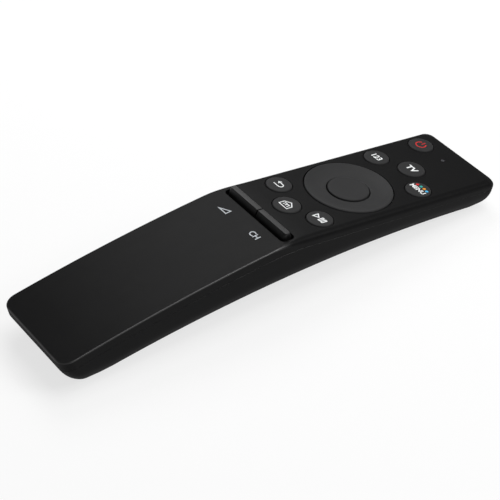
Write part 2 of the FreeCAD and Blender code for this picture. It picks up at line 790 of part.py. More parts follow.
def cap_outline(outer, top, bottom):
    """Half outline of a cap with a bevelled top edge."""
    return [(0, bottom), (outer, bottom), (outer, top - KEY_EDGE), (outer - KEY_EDGE, top), (0, top)]


def round_key(x, y, hole):
    """Key held under the face by two ears, with its rubber dome below."""
    outer = hole - KEY_CLEARANCE
    cap = turned(cap_outline(outer, KEY_PROUD, KEY_FLANGE_BOTTOM))
    reach = hole + KEY_EAR_REACH
    half = KEY_EAR_WIDTH / 2
    ears = box(-half, half, -reach, reach, KEY_FLANGE_BOTTOM, KEY_FLANGE_TOP)
    return moved(join(cap, ears), x, y, 0)


def select_button():
    """Middle key, held down by a flange under the hub of the ring."""
    outer = RING_INNER - SELECT_CLEARANCE
    flange = outer + SELECT_FLANGE_REACH
    outline = cap_outline(outer, -SELECT_SUNK, PLATE_BOTTOM)
    flange_top = -SELECT_FLANGE_DEPTH
    outline[1:2] = [(flange, PLATE_BOTTOM), (flange, flange_top), (outer, flange_top)]
    return turned(outline)


def direction_ring():
    """Dished ring key with four lugs that the face holds down."""
    crest = RING_RIM - KEY_EDGE
    lip = RING_INNER + KEY_EDGE / 2
    low = RING_PROUD - RING_DISH
    sag = (RING_PROUD + low) / 2 - RING_DISH / 4
    outline = [
        (RING_INNER, RING_BOTTOM), (RING_RIM, RING_BOTTOM), (RING_RIM, RING_PROUD - KEY_EDGE),
        (crest, RING_PROUD), ((crest + lip) / 2, sag), (lip, low), (RING_INNER, low - KEY_EDGE / 2),
    ]
    reach = RING_HOLE + RING_LUG_REACH
    half = RING_LUG_WIDTH / 2
    across = box(-reach, reach, -half, half, RING_BOTTOM, -RING_LUG_DEPTH)
    along = box(-half, half, -reach, reach, RING_BOTTOM, -RING_LUG_DEPTH)
    middle = post(0, 0, crest, RING_BOTTOM - BEYOND, BEYOND)
    return join(turned(outline), across.cut(middle), along.cut(middle))


def ring_of(sides, radius, z):
    """Closed outline with equal sides about the ring's centre."""
    angles = [2 * math.pi * (index + 0.5) / sides for index in range(sides)]
    corners = [vec(radius * math.cos(angle), radius * math.sin(angle), z) for angle in angles]
    return Part.makePolygon(corners + corners[:1])


def ring_plate():
    """Rocker plate under the ring that presses the four domes."""
    outlines = [ring_of(PLATE_SIDES, radius, PLATE_BOTTOM) for radius in (PLATE_OUTER, PLATE_INNER)]
    plate, hole = [Part.Face(outline).extrude(vec(0, 0, PLATE_THICKNESS)) for outline in outlines]
    return plate.cut(hole)


def paddle_pivot():
    return vec(0, -PADDLE_ROW, top_height(-PADDLE_ROW) - PIVOT_DEPTH)


def along_pin(radius, x0, x1):
    pivot = paddle_pivot()
    return Part.makeCylinder(radius, x1 - x0, vec(x0, pivot.y, pivot.z), vec(1, 0, 0))


def paddle_blade():
    """Part of the paddle that stands out of the slot, leaning back from the near side."""
    y = -PADDLE_ROW
    face = top_height(y)
    outline = [
        vec(0, y - PADDLE_NEAR_BASE, face - PADDLE_SKIRT),
        vec(0, y - PADDLE_NEAR_BASE, face),
        vec(0, y - PADDLE_NEAR_TOP, face + PADDLE_HEIGHT),
        vec(0, y + PADDLE_FAR_TOP, face + PADDLE_HEIGHT),
        vec(0, y + PADDLE_FAR_BASE, face),
        vec(0, y + PADDLE_FAR_BASE, face - PADDLE_SKIRT),
    ]
    edges = [line(start, end) for start, end in zip(outline, outline[1:] + outline[:1])]
    blade = prism(edges, PADDLE_INNER_END, PADDLE_OUTER_END)
    ends = [edge for edge in blade.Edges if middle_of(edge).x > PADDLE_OUTER_END - 1e-3]
    uprights = [edge for edge in ends if abs(edge.tangentAt(edge.FirstParameter).z) > 0.5]
    blade = blade.makeFillet(PADDLE_END_ROUND, uprights)
    crest = [edge for edge in blade.Edges if edge.BoundBox.ZMin > face + PADDLE_HEIGHT - 1e-3]
    return blade.makeChamfer(PADDLE_BEVEL, crest)


def ear_ends():
    """Where the two ears of a cradle start and stop along the pin."""
    inner = PADDLE_INNER_END
    outer = PADDLE_OUTER_END
    return ((inner, inner + EAR_THICKNESS), (outer - EAR_THICKNESS, outer))


def paddle():
    """Right-hand paddle: blade, web, hub on the pin, and a foot that presses two domes."""
    pivot = paddle_pivot()
    start = ear_ends()[0][1] + EAR_GAP
    end = ear_ends()[1][0] - EAR_GAP
    half_web = WEB_THICKNESS / 2
    web_top = pivot.z + PIVOT_DEPTH - PADDLE_SKIRT / 2
    web = box(start, end, pivot.y - half_web, pivot.y + half_web, pivot.z, web_top)
    foot_top = pivot.z - FOOT_TOP_DROP
    near, far = pivot.y - FOOT_REACH, pivot.y + FOOT_REACH
    foot = box(start, end, near, far, foot_top - FOOT_THICKNESS, foot_top)
    body = join(paddle_blade(), web, along_pin(HUB_RADIUS, start, end), foot)
    return body.cut(along_pin(PIN_RADIUS + PIN_FIT, start - BEYOND, end + BEYOND))


def cradle():
    """Right-hand cradle: two ears that hold the pin, on a plate that presses one dome."""
    pivot = paddle_pivot()
    top = pivot.z - CRADLE_DROP
    half = CRADLE_WIDTH / 2
    near, far = pivot.y - half, pivot.y + half
    floor = box(PADDLE_INNER_END, PADDLE_OUTER_END, near, far, top - CRADLE_THICKNESS, top)
    half_ear = EAR_WIDTH / 2
    ears = [
        box(x0, x1, pivot.y - half_ear, pivot.y + half_ear, top, pivot.z + HUB_RADIUS)
        for x0, x1 in ear_ends()
    ]
    body = join(floor, *ears)
    return body.cut(along_pin(PIN_RADIUS + PIN_FIT, -BEYOND, PADDLE_OUTER_END + BEYOND))


def pivot_pin():
    return along_pin(PIN_RADIUS, PADDLE_INNER_END, PADDLE_OUTER_END)


def mirrored(shape):
    return shape.mirror(vec(0, 0, 0), vec(1, 0, 0))


def dome(x, y, base, top):
    """Tapering rubber dome that stands on the keypad sheet."""
    tip = base * DOME_TAPER
    wedge = Part.makeWedge(-base, 0, -base, -tip, -tip, base, top - PAD_TOP, base, tip, tip)
    wedge.rotate(vec(0, 0, 0), vec(1, 0, 0), 90)
    return moved(wedge, x, y, PAD_TOP)


def dome_places():
    """Place, base radius and top height of every dome."""
    foot_bottom = paddle_pivot().z - FOOT_TOP_DROP - FOOT_THICKNESS
    cradle_bottom = paddle_pivot().z - CRADLE_DROP - CRADLE_THICKNESS
    middle = (PADDLE_INNER_END + PADDLE_OUTER_END) / 2
    places = [(x, y, KEY_DOME, KEY_DOME_TOP) for _, x, y, _ in KEYS]
    places.append((0.0, 0.0, KEY_DOME, PLATE_BOTTOM - SEAT_GAP))
    reach = (PLATE_INNER + PLATE_OUTER) / 2
    for x, y in ((reach, 0.0), (0.0, reach), (-reach, 0.0), (0.0, -reach)):
        places.append((x, y, RING_DOME, PLATE_BOTTOM - SEAT_GAP))
    row = FOOT_REACH - SMALL_DOME / 2
    for side in (-middle, middle):
        places.append((side, -PADDLE_ROW, SMALL_DOME, cradle_bottom - SEAT_GAP))
        places.append((side, -PADDLE_ROW - row, SMALL_DOME, foot_bottom - SEAT_GAP))
        places.append((side, -PADDLE_ROW + row, SMALL_DOME, foot_bottom - SEAT_GAP))
    return places


def rubber_keypad():
    half = BOARD_HALF_WIDTH - PAD_SET_IN
    far = BOARD_FAR_END - PAD_SET_IN
    near = PAD_SET_IN - BOARD_NEAR_END
    sheet = rounded_block(-half, half, near, far, BOARD_CORNER, BOARD_TOP, PAD_TOP)
    domes = [dome(*place) for place in dome_places()]
    half_notch = EMITTER_SPACING / 2 + EMITTER_RADIUS + 2 * EMITTER_SEAT
    notch_start = FAR - WALL - EMITTER_LENGTH - 2 * KEY_DOME - PAD_SET_IN
    notch = box(-half_notch, half_notch, notch_start, far + BEYOND, BOARD_TOP - BEYOND, BEYOND)
    return join(sheet, *domes).cut(notch)


def circuit_board():
    half = BOARD_HALF_WIDTH
    board = rounded_block(
        -half, half, -BOARD_NEAR_END, BOARD_FAR_END, BOARD_CORNER, BOARD_BOTTOM, BOARD_TOP
    )
    notch = POST_SIZE + 2 * LOCATOR_GAP
    return board.cut([column(x, y, notch, BOARD_BOTTOM - BEYOND, BEYOND) for x, y in LOCATORS])


def control_chip():
    """Chip under the board, with a row of legs on each side."""
    top = BOARD_BOTTOM - SEAT_GAP
    leg = CHIP_LEG_PITCH / 3
    body = box(-CHIP_LENGTH / 2, CHIP_LENGTH / 2, -CHIP_WIDTH / 2, CHIP_WIDTH / 2, top - CHIP_HEIGHT, top)
    legs = []
    for index in range(CHIP_LEGS):
        x = (index - (CHIP_LEGS - 1) / 2) * CHIP_LEG_PITCH
        reach = CHIP_WIDTH / 2 + CHIP_LEG_PITCH
        legs.append(box(x - leg / 2, x + leg / 2, -reach, reach, top - leg, top))
    return join(body, *legs)


def capacitor():
    """Small can lying under the board."""
    z = BOARD_BOTTOM - SEAT_GAP - CAPACITOR_RADIUS
    start = vec(-CAPACITOR_LENGTH / 2, CAPACITOR_END_MARGIN - BOARD_NEAR_END, z)
    return Part.makeCylinder(CAPACITOR_RADIUS, CAPACITOR_LENGTH, start, vec(1, 0, 0))


def crystal():
    half = CRYSTAL_LENGTH / 2
    half_width = CRYSTAL_WIDTH / 2
    y = -HOME_KEY_ROW
    top = BOARD_BOTTOM - SEAT_GAP
    return box(-half, half, y - half_width, y + half_width, top - CRYSTAL_HEIGHT, top)


def build():
    """Every piece of the remote by name."""
    body = top_body()
    pieces = {
        "top_shell": top_shell(body),
        "bottom_shell": bottom_shell(),
        "battery_cover": battery_cover(),
        "infrared_window": infrared_window(body),
        "indicator_lens": indicator_lens(),
        "indicator_lamp": indicator_lamp(),
        "direction_ring": direction_ring(),
        "ring_rocker_plate": ring_plate(),
        "select_button": select_button(),
        "volume_paddle": mirrored(paddle()),
        "channel_paddle": paddle(),
        "volume_cradle": mirrored(cradle()),
        "channel_cradle": cradle(),
        "volume_pin": mirrored(pivot_pin()),
        "channel_pin": pivot_pin(),
        "rubber_keypad": rubber_keypad(),
        "circuit_board": circuit_board(),
        "control_chip": control_chip(),
        "capacitor": capacitor(),
        "crystal": crystal(),
        "infrared_emitters": Part.makeCompound([emitter(side * EMITTER_SPACING / 2) for side in (-1, 1)]),
        "batteries": Part.makeCompound([battery(side) for side in (-1, 1)]),
        "battery_contacts": Part.makeCompound(contacts()),
        "contact_springs": Part.makeCompound([contact_spring(side) for side in (-1, 1)]),
    }
    for name, x, y, hole in KEYS:
        pieces[name] = round_key(x, y, hole)
    return pieces


def main():
    os.makedirs("parts", exist_ok=True)
    for name, shape in build().items():
        placed(shape).exportStep("parts/" + name + ".step")


if __name__ == "__main__":
    main()
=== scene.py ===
import json
import logging
import math
from collections.abc import Callable
from dataclasses import dataclass
from dataclasses import field
from enum import Enum

import bmesh
import bpy
from mathutils import Matrix
from mathutils import Vector


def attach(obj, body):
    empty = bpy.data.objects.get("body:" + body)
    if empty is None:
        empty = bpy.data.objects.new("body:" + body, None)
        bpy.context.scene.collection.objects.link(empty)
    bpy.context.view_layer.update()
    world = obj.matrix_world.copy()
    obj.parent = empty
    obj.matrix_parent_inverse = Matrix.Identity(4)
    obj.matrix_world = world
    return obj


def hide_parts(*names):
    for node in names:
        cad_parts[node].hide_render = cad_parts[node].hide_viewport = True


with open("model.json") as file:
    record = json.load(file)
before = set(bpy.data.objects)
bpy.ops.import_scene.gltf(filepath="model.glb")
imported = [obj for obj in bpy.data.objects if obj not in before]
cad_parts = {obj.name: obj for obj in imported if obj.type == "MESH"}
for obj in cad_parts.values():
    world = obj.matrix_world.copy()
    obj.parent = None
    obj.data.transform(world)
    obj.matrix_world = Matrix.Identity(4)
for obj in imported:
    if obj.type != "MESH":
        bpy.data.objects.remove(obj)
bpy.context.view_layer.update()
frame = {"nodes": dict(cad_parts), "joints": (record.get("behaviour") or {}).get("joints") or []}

# A slim handheld remote control lying on a pale table.
# Forms are worked out in millimetres on the flat key face: the centre of the direction ring
# is the origin, +X is to the right, +Y is towards the infrared end and +Z is out of the face.
# The last step of each piece lays it on the table, in metres. Corners nearer to each other than
# WELD become one, and edges shorter than SLIVER go.

LOG = logging.getLogger("remote")
MM = 0.001
SHARP = math.radians(32.0)
WELD = 1e-4
SLIVER = 1e-5
Level = Callable[[Vector], Vector]
Colour = tuple[float, float, float]


class Slot(Enum):
    """Material slots of the record, passed along with new pieces."""

    CASE = "case_plastic"
    KEY = "key_plastic"
    RING = "ring_plastic"
    PADDLE = "paddle_plastic"
    WINDOW = "window_plastic"
    STEEL = "bright_steel"
    SLEEVE = "cell_sleeve"


class Shader:
    """Node tree of one material, and the one way in which nodes are added to it."""

    def __init__(self, name: str) -> None:
        """Start an empty material.

        Args:
            name: its name.
        """
        self.material = bpy.data.materials.new(name)
        self.material.use_nodes = True
        self.tree = self.material.node_tree
        self.tree.nodes.clear()

    def node(self, kind: str, settings: dict[str, object] | None = None, **sockets: object) -> bpy.types.Node:
        """Add a node.

        Args:
            kind: type name of the node, without its ShaderNode start.
            settings: attributes that are set first; stops gives a ramp's places and greys.
            sockets: values or links of its sockets, with _ for a space in their names.

        Returns:
            The new node.
        """
        made = self.tree.nodes.new("ShaderNode" + kind)
        for key, value in (settings or {}).items():
            if key == "stops":
                self._set_stops(made, value)
            else:
                setattr(made, key, value)
        for key, value in sockets.items():
            self._feed(made.inputs[key.replace("_", " ")], value)
        return made

    def link(self, node: bpy.types.Node, values: dict[int, object]) -> bpy.types.Node:
        """Give values or links to sockets by their numbers, and return the node."""
        for index, value in values.items():
            self._feed(node.inputs[index], value)
        return node

    def value(self, node: bpy.types.Node, output: str | int = 0) -> "Wire":
        """Wrap an output of a node."""
        return Wire(self, node.outputs[output])

    def place(self) -> "Wire":
        """Place on the piece, in metres."""
        return self.value(self.node("TexCoord"), "Object")

    def noise(self, size_mm: float, detail: float = 2.0, stretch: Vector | None = None) -> "Wire":
        """Soft noise.

        Args:
            size_mm: size of its spots in millimetres.
            detail: how many finer layers it has.
            stretch: scale along each axis, for streaks.

        Returns:
            A value from 0 to 1.
        """
        spot = self.place()
        if stretch is not None:
            spot = self.value(self.node("Mapping", Vector=spot, Scale=stretch))
        made = self.node("TexNoise", Vector=spot, Scale=1.0 / (size_mm * MM), Detail=detail, Roughness=0.55)
        return self.value(made, "Fac")

    def mix(self, factor: object, first: object, second: object) -> "Wire":
        """Mix two colours.

        Args:
            factor: share of the second colour.
            first: colour at 0.
            second: colour at 1.

        Returns:
            The mixed colour.
        """
        made = self.node("Mix", {"data_type": "RGBA"})
        self.link(made, {0: factor, 6: first, 7: second})
        return self.value(made, 2)

    def bump(self, height: "Wire", depth_mm: float, strength: float = 1.0) -> "Wire":
        """Normal that follows a height of a depth in millimetres."""
        made = self.node("Bump", Height=height, Distance=depth_mm * MM, Strength=strength)
        return self.value(made)

    def surface(self, made: bpy.types.Node) -> bpy.types.Material:
        """Put a shader node on the surface and return the material."""
        self.node("OutputMaterial", Surface=self.value(made))
        return self.material

    def _feed(self, socket: bpy.types.NodeSocket, value: object) -> None:
        """Set a socket or link something to it."""
        if isinstance(value, Wire):
            self.tree.links.new(value.socket, socket)
        elif isinstance(value, tuple) and len(value) == 3 and socket.type == "RGBA":
            socket.default_value = (*value, 1.0)
        else:
            socket.default_value = value

    def _set_stops(self, ramp: bpy.types.Node, stops: object) -> None:
        """Set the places and greys of a colour ramp.

        Args:
            ramp: the ramp node.
            stops: pairs of place and grey.
        """
        elements = ramp.color_ramp.elements
        while len(elements) > 1:
            elements.remove(elements[-1])
        for number, (place, grey) in enumerate(stops):
            element = elements[0] if number == 0 else elements.new(place)
            element.position = place
            element.color = (grey, grey, grey, 1.0)


class Wire:
    """A shader socket that can stand in sums."""

    def __init__(self, shader: Shader, socket: bpy.types.NodeSocket) -> None:
        """Wrap a socket."""
        self.shader = shader
        self.socket = socket

    def _math(self, operation: str, *values: object) -> "Wire":
        """Add a Math node on some values and wrap its result."""
        made = self.shader.node("Math", {"operation": operation})
        return self.shader.value(self.shader.link(made, dict(enumerate(values))))

    def __add__(self, other: object) -> "Wire":
        """Sum."""
        return self._math("ADD", self, other)

    def __radd__(self, other: object) -> "Wire":
        """Sum, from the right."""
        return self._math("ADD", other, self)

    def __sub__(self, other: object) -> "Wire":
        """Difference."""
        return self._math("SUBTRACT", self, other)

    def __rsub__(self, other: object) -> "Wire":
        """Difference, from the right."""
        return self._math("SUBTRACT", other, self)

    def __mul__(self, other: object) -> "Wire":
        """Product."""
        return self._math("MULTIPLY", self, other)

    def __rmul__(self, other: object) -> "Wire":
        """Product, from the right."""
        return self._math("MULTIPLY", other, self)

    def ramp(self, *stops: tuple[float, float]) -> "Wire":
        """Grey ramp through places and greys."""
        return self.shader.value(self.shader.node("ValToRGB", {"stops": stops}, Fac=self))


@dataclass(frozen=True)
class MouldedPlastic:
    """Moulded plastic with a fine spark texture and faint handling marks; its convex edges may be painted
    paler, partly as polish wear and partly as a painted highlight.
    """

    name: str
    colour: Colour
    roughness: float = 0.42
    specular: float = 0.3
    grain_mm: float = 0.22
    grain_depth: float = 0.006
    cloud: float = 0.16
    cloud_mm: float = 14.0
    wipe_mm: float = 3.0
    coat: float = 0.0
    coat_roughness: float = 0.12
    edge_wear_and_highlight: float = 0.0
    worn_coat: float = 0.7
    worn_gloss: float = 0.1
    grazing_dull: float = 0.5

    def material(self) -> bpy.types.Material:
        """Make the material.

        Returns:
            Satin plastic whose colour, gloss and bump vary at three scales.
        """
        shader = Shader(self.name)
        cloud = shader.noise(self.cloud_mm, 3.0)
        spark = shader.noise(self.grain_mm, 3.0)
        wipe = shader.noise(self.wipe_mm, 4.0, Vector((1.0, 0.22, 1.0)))
        dark = tuple(part * (1.0 - self.cloud) for part in self.colour)
        light = tuple(part * (1.0 + self.cloud) for part in self.colour)
        colour = shader.mix(cloud * 0.7 + spark * 0.3, dark, light)
        rough = self.roughness - 0.06 + wipe * 0.07 + spark * 0.05
        coat = self.coat
        if self.edge_wear_and_highlight > 0.0:
            edge = shader.value(shader.node("Attribute", {"attribute_name": "edge"}), "Fac")
            edge = edge * (0.75 + wipe * 0.5)
            # Convex edges are mixed to a paler colour: partly polish wear, partly a painted highlight along
            # the rim.
            pale = tuple(part + self.edge_wear_and_highlight for part in self.colour)
            colour = shader.mix(edge, colour, pale)
            grazing = shader.value(shader.node("LayerWeight", Blend=0.5), "Facing")
            rough = rough - edge * self.worn_gloss
            rough = rough + grazing * grazing * grazing * self.grazing_dull
            coat = edge * self.worn_coat
        made = shader.node(
            "BsdfPrincipled",
            Base_Color=colour,
            Roughness=rough,
            Specular_IOR_Level=self.specular,
            Coat_Weight=coat,
            Coat_Roughness=self.coat_roughness,
            Normal=shader.bump(spark, self.grain_depth),
        )
        return shader.surface(made)


@dataclass(frozen=True)
class PrintedInk:
    """Thin screen-printed ink."""

    name: str
    colour: Colour

    def material(self) -> bpy.types.Material:
        """Make the material.

        Returns:
            Matt ink with a slightly uneven cover.
        """
        shader = Shader(self.name)
        cover = shader.noise(0.35, 3.0)
        thin = tuple(part * 0.86 for part in self.colour)
        made = shader.node(
            "BsdfPrincipled",
            Base_Color=shader.mix(cover.ramp((0.3, 0.0), (0.6, 1.0)), thin, self.colour),
            Roughness=0.5 + cover * 0.1,
            Specular_IOR_Level=0.25,
            Normal=shader.bump(cover, 0.003),
        )
        return shader.surface(made)


@dataclass(frozen=True)
class PlatedMetal:
    """Stamped or drawn metal with fine rolling lines."""

    name: str
    colour: Colour
    roughness: float = 0.26

    def material(self) -> bpy.types.Material:
        """Make the material.

        Returns:
            Bright metal with lines and a few dull spots.
        """
        shader = Shader(self.name)
        lines = shader.noise(0.4, 4.0, Vector((1.0, 0.06, 1.0)))
        spots = shader.noise(2.2, 3.0)
        dull = tuple(part * 0.8 for part in self.colour)
        made = shader.node(
            "BsdfPrincipled",
            Base_Color=shader.mix(spots.ramp((0.45, 0.0), (0.7, 1.0)), self.colour, dull),
            Metallic=1.0,
            Roughness=self.roughness - 0.05 + lines * 0.12 + spots * 0.05,
            Normal=shader.bump(lines, 0.004),
        )
        return shader.surface(made)


@dataclass(frozen=True)
class SiliconeRubber:
    """Matt silicone rubber with a dusty skin."""

    name: str
    colour: Colour

    def material(self) -> bpy.types.Material:
        """Make the material.

        Returns:
            Soft grey rubber.
        """
        shader = Shader(self.name)
        dust = shader.noise(1.1, 4.0)
        pale = tuple(min(1.0, part * 1.25) for part in self.colour)
        made = shader.node(
            "BsdfPrincipled",
            Base_Color=shader.mix(dust.ramp((0.4, 0.0), (0.75, 1.0)), self.colour, pale),
            Roughness=0.62 + dust * 0.18,
            Specular_IOR_Level=0.35,
            Normal=shader.bump(dust, 0.01),
        )
        return shader.surface(made)


@dataclass(frozen=True)
class BoardLaminate:
    """Green coated board with the weave of its glass cloth showing faintly."""

    name: str
    colour: Colour
    weave_mm: float = 0.5

    def material(self) -> bpy.types.Material:
        """Make the material.

        Returns:
            Coated laminate with a fine weave.
        """
        shader = Shader(self.name)
        turned = shader.place()
        pitch = 0.32 / (self.weave_mm * MM)
        warp = shader.node("TexWave", {"bands_direction": "X"}, Vector=turned, Scale=pitch)
        weft = shader.node("TexWave", {"bands_direction": "Y"}, Vector=turned, Scale=pitch)
        weave = shader.value(warp, "Fac") * shader.value(weft, "Fac")
        deep = tuple(part * 0.65 for part in self.colour)
        made = shader.node(
            "BsdfPrincipled",
            Base_Color=shader.mix(weave, deep, self.colour),
            Roughness=0.34 + weave * 0.12,
            Normal=shader.bump(weave, 0.006),
        )
        return shader.surface(made)


@dataclass(frozen=True)
class CastResin:
    """Clear or smoky cast resin."""

    name: str
    colour: Colour
    roughness: float = 0.08
    transmission: float = 0.6

    def material(self) -> bpy.types.Material:
        """Make the material.

        Returns:
            Glossy resin with faint clouding.
        """
        shader = Shader(self.name)
        cloud = shader.noise(1.6, 3.0)
        milky = tuple(min(1.0, part * 1.3) for part in self.colour)
        made = shader.node(
            "BsdfPrincipled",
            Base_Color=shader.mix(cloud, self.colour, milky),
            Roughness=self.roughness + cloud * 0.06,
            Transmission_Weight=self.transmission,
            IOR=1.5,
            Normal=shader.bump(cloud, 0.004),
        )
        return shader.surface(made)


@dataclass(frozen=True)
class TableTop:
    """Pale table that keeps the shadow of what lies on it."""

    name: str
    colour: Colour
    shown: float = 0.72

    def material(self) -> bpy.types.Material:
        """Make the material.

        Returns:
            White surface, part of whose light to the camera is its own.
        """
        shader = Shader(self.name)
        speck = shader.noise(6.0, 2.0)
        paler = tuple(part * 0.985 for part in self.colour)
        lit = shader.node("BsdfDiffuse", Color=shader.mix(speck, paler, self.colour))
        plain = shader.node("Emission", Color=(1.0, 1.0, 1.0), Strength=1.0)
        path = shader.node("LightPath")
        seen = shader.value(path, "Is Camera Ray") + shader.value(path, "Is Glossy Ray")
        seen = seen + shader.value(path, "Is Transmission Ray")
        mixed = shader.node("MixShader", Fac=seen * self.shown)
        shader.link(mixed, {1: shader.value(lit), 2: shader.value(plain)})
        return shader.surface(mixed)


# The case's convex edges are painted 0.03 paler: partly polish wear, partly a painted highlight.
CASE_FINISH = MouldedPlastic(
    "case_satin_black", (0.0058, 0.0058, 0.0060), 0.40, 0.055, edge_wear_and_highlight=0.03, coat_roughness=0.25
)
KEY_FINISH = MouldedPlastic("key_satin_grey", (0.029, 0.029, 0.0295), 0.46, 0.06, grain_mm=0.16)
RING_FINISH = MouldedPlastic("ring_satin_grey", (0.030, 0.030, 0.0305), 0.44, 0.06, grain_mm=0.16)
PADDLE_FINISH = MouldedPlastic("paddle_black", (0.0085, 0.0085, 0.0088), 0.33, 0.28, grain_mm=0.3)
WINDOW_FINISH = MouldedPlastic(
    "window_gloss_black", (0.006, 0.003, 0.004), 0.14, 0.2, grain_depth=0.001, coat=0.1, coat_roughness=0.04
)
HIDDEN_FINISH = MouldedPlastic("inner_matt_black", (0.012, 0.012, 0.012), 0.55, 0.3, grain_mm=0.4)
CHIP_FINISH = MouldedPlastic("chip_matt_black", (0.014, 0.014, 0.015), 0.6, 0.35, grain_mm=0.12)
SLEEVE_FINISH = MouldedPlastic(
    "cell_sleeve_graphite", (0.045, 0.048, 0.055), 0.28, 0.5, grain_depth=0.002, coat=0.3
)
STEEL_FINISH = PlatedMetal("plated_steel", (0.62, 0.61, 0.58))
RUBBER_FINISH = SiliconeRubber("keypad_grey_rubber", (0.24, 0.25, 0.26))
BOARD_FINISH = BoardLaminate("board_green_coat", (0.03, 0.17, 0.06))
SMOKE_FINISH = CastResin("indicator_smoke", (0.05, 0.05, 0.055), 0.2, 0.2)
RESIN_FINISH = CastResin("emitter_resin", (0.42, 0.46, 0.62))
WHITE_INK = PrintedInk("ink_white", (0.86, 0.88, 0.88))
SILVER_INK = PrintedInk("ink_pale_grey", (0.50, 0.53, 0.56))
RED_INK = PrintedInk("ink_red", (0.58, 0.02, 0.02))
TEAL_INK = PrintedInk("ink_teal", (0.03, 0.42, 0.36))
ORANGE_INK = PrintedInk("ink_orange", (0.80, 0.30, 0.02))
BLUE_INK = PrintedInk("ink_light_blue", (0.06, 0.42, 0.72))


@dataclass(frozen=True)
class FaceFrame:
    """Where the flat key face lies above the table."""

    matrix: Matrix

    @classmethod
    def from_joints(cls, joints: list[dict], pivot_depth: float = 1.2) -> "FaceFrame":
        """Find the face from a key's press and the ring's tilt.

        Args:
            joints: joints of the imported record.
            pivot_depth: depth of the ring's pivot below the face, in millimetres.

        Returns:
            The frame of the key face.
        """
        by_name = {joint["name"]: joint for joint in joints}
        normal = -Vector(by_name["select_press"]["axis"]).normalized()
        pivot = Vector(by_name["ring_tilt_far_near"]["pos_m"])
        right = Vector((1.0, 0.0, 0.0))
        along = normal.cross(right)
        turn = Matrix((right, along, normal)).transposed().to_4x4()
        origin = pivot + normal * pivot_depth * MM
        return cls(Matrix.Translation(origin) @ turn @ Matrix.Scale(MM, 4))

    def tilt(self) -> float:
        """Angle between the face and the table, in radians."""
        along = self.matrix.to_3x3() @ Vector((0.0, 1.0, 0.0))
        return -math.asin(along.normalized().z)


def circle_through(first: Vector, second: Vector, third: Vector) -> tuple[Vector, float]:
    """Circle through three points of the side view.

    Args:
        first: point, of which Y and Z count.
        second: another point.
        third: a third point.

    Returns:
        Its centre and its radius.
    """
    ax, az, bx, bz, cx, cz = first.y, first.z, second.y, second.z, third.y, third.z
    twice = 2.0 * (ax * (bz - cz) + bx * (cz - az) + cx * (az - bz))
    a2, b2, c2 = ax * ax + az * az, bx * bx + bz * bz, cx * cx + cz * cz
    y = (a2 * (bz - cz) + b2 * (cz - az) + c2 * (az - bz)) / twice
    z = (a2 * (cx - bx) + b2 * (ax - cx) + c2 * (bx - ax)) / twice
    centre = Vector((0.0, y, z))
    return centre, math.hypot(first.y - y, first.z - z)


def circle_height(centre: Vector, radius: float, y: float) -> float:
    """Height of the upper half of a circle above a place on the Y axis."""
    return centre.z + math.sqrt(max(0.0, radius**2 - (y - centre.y) ** 2))


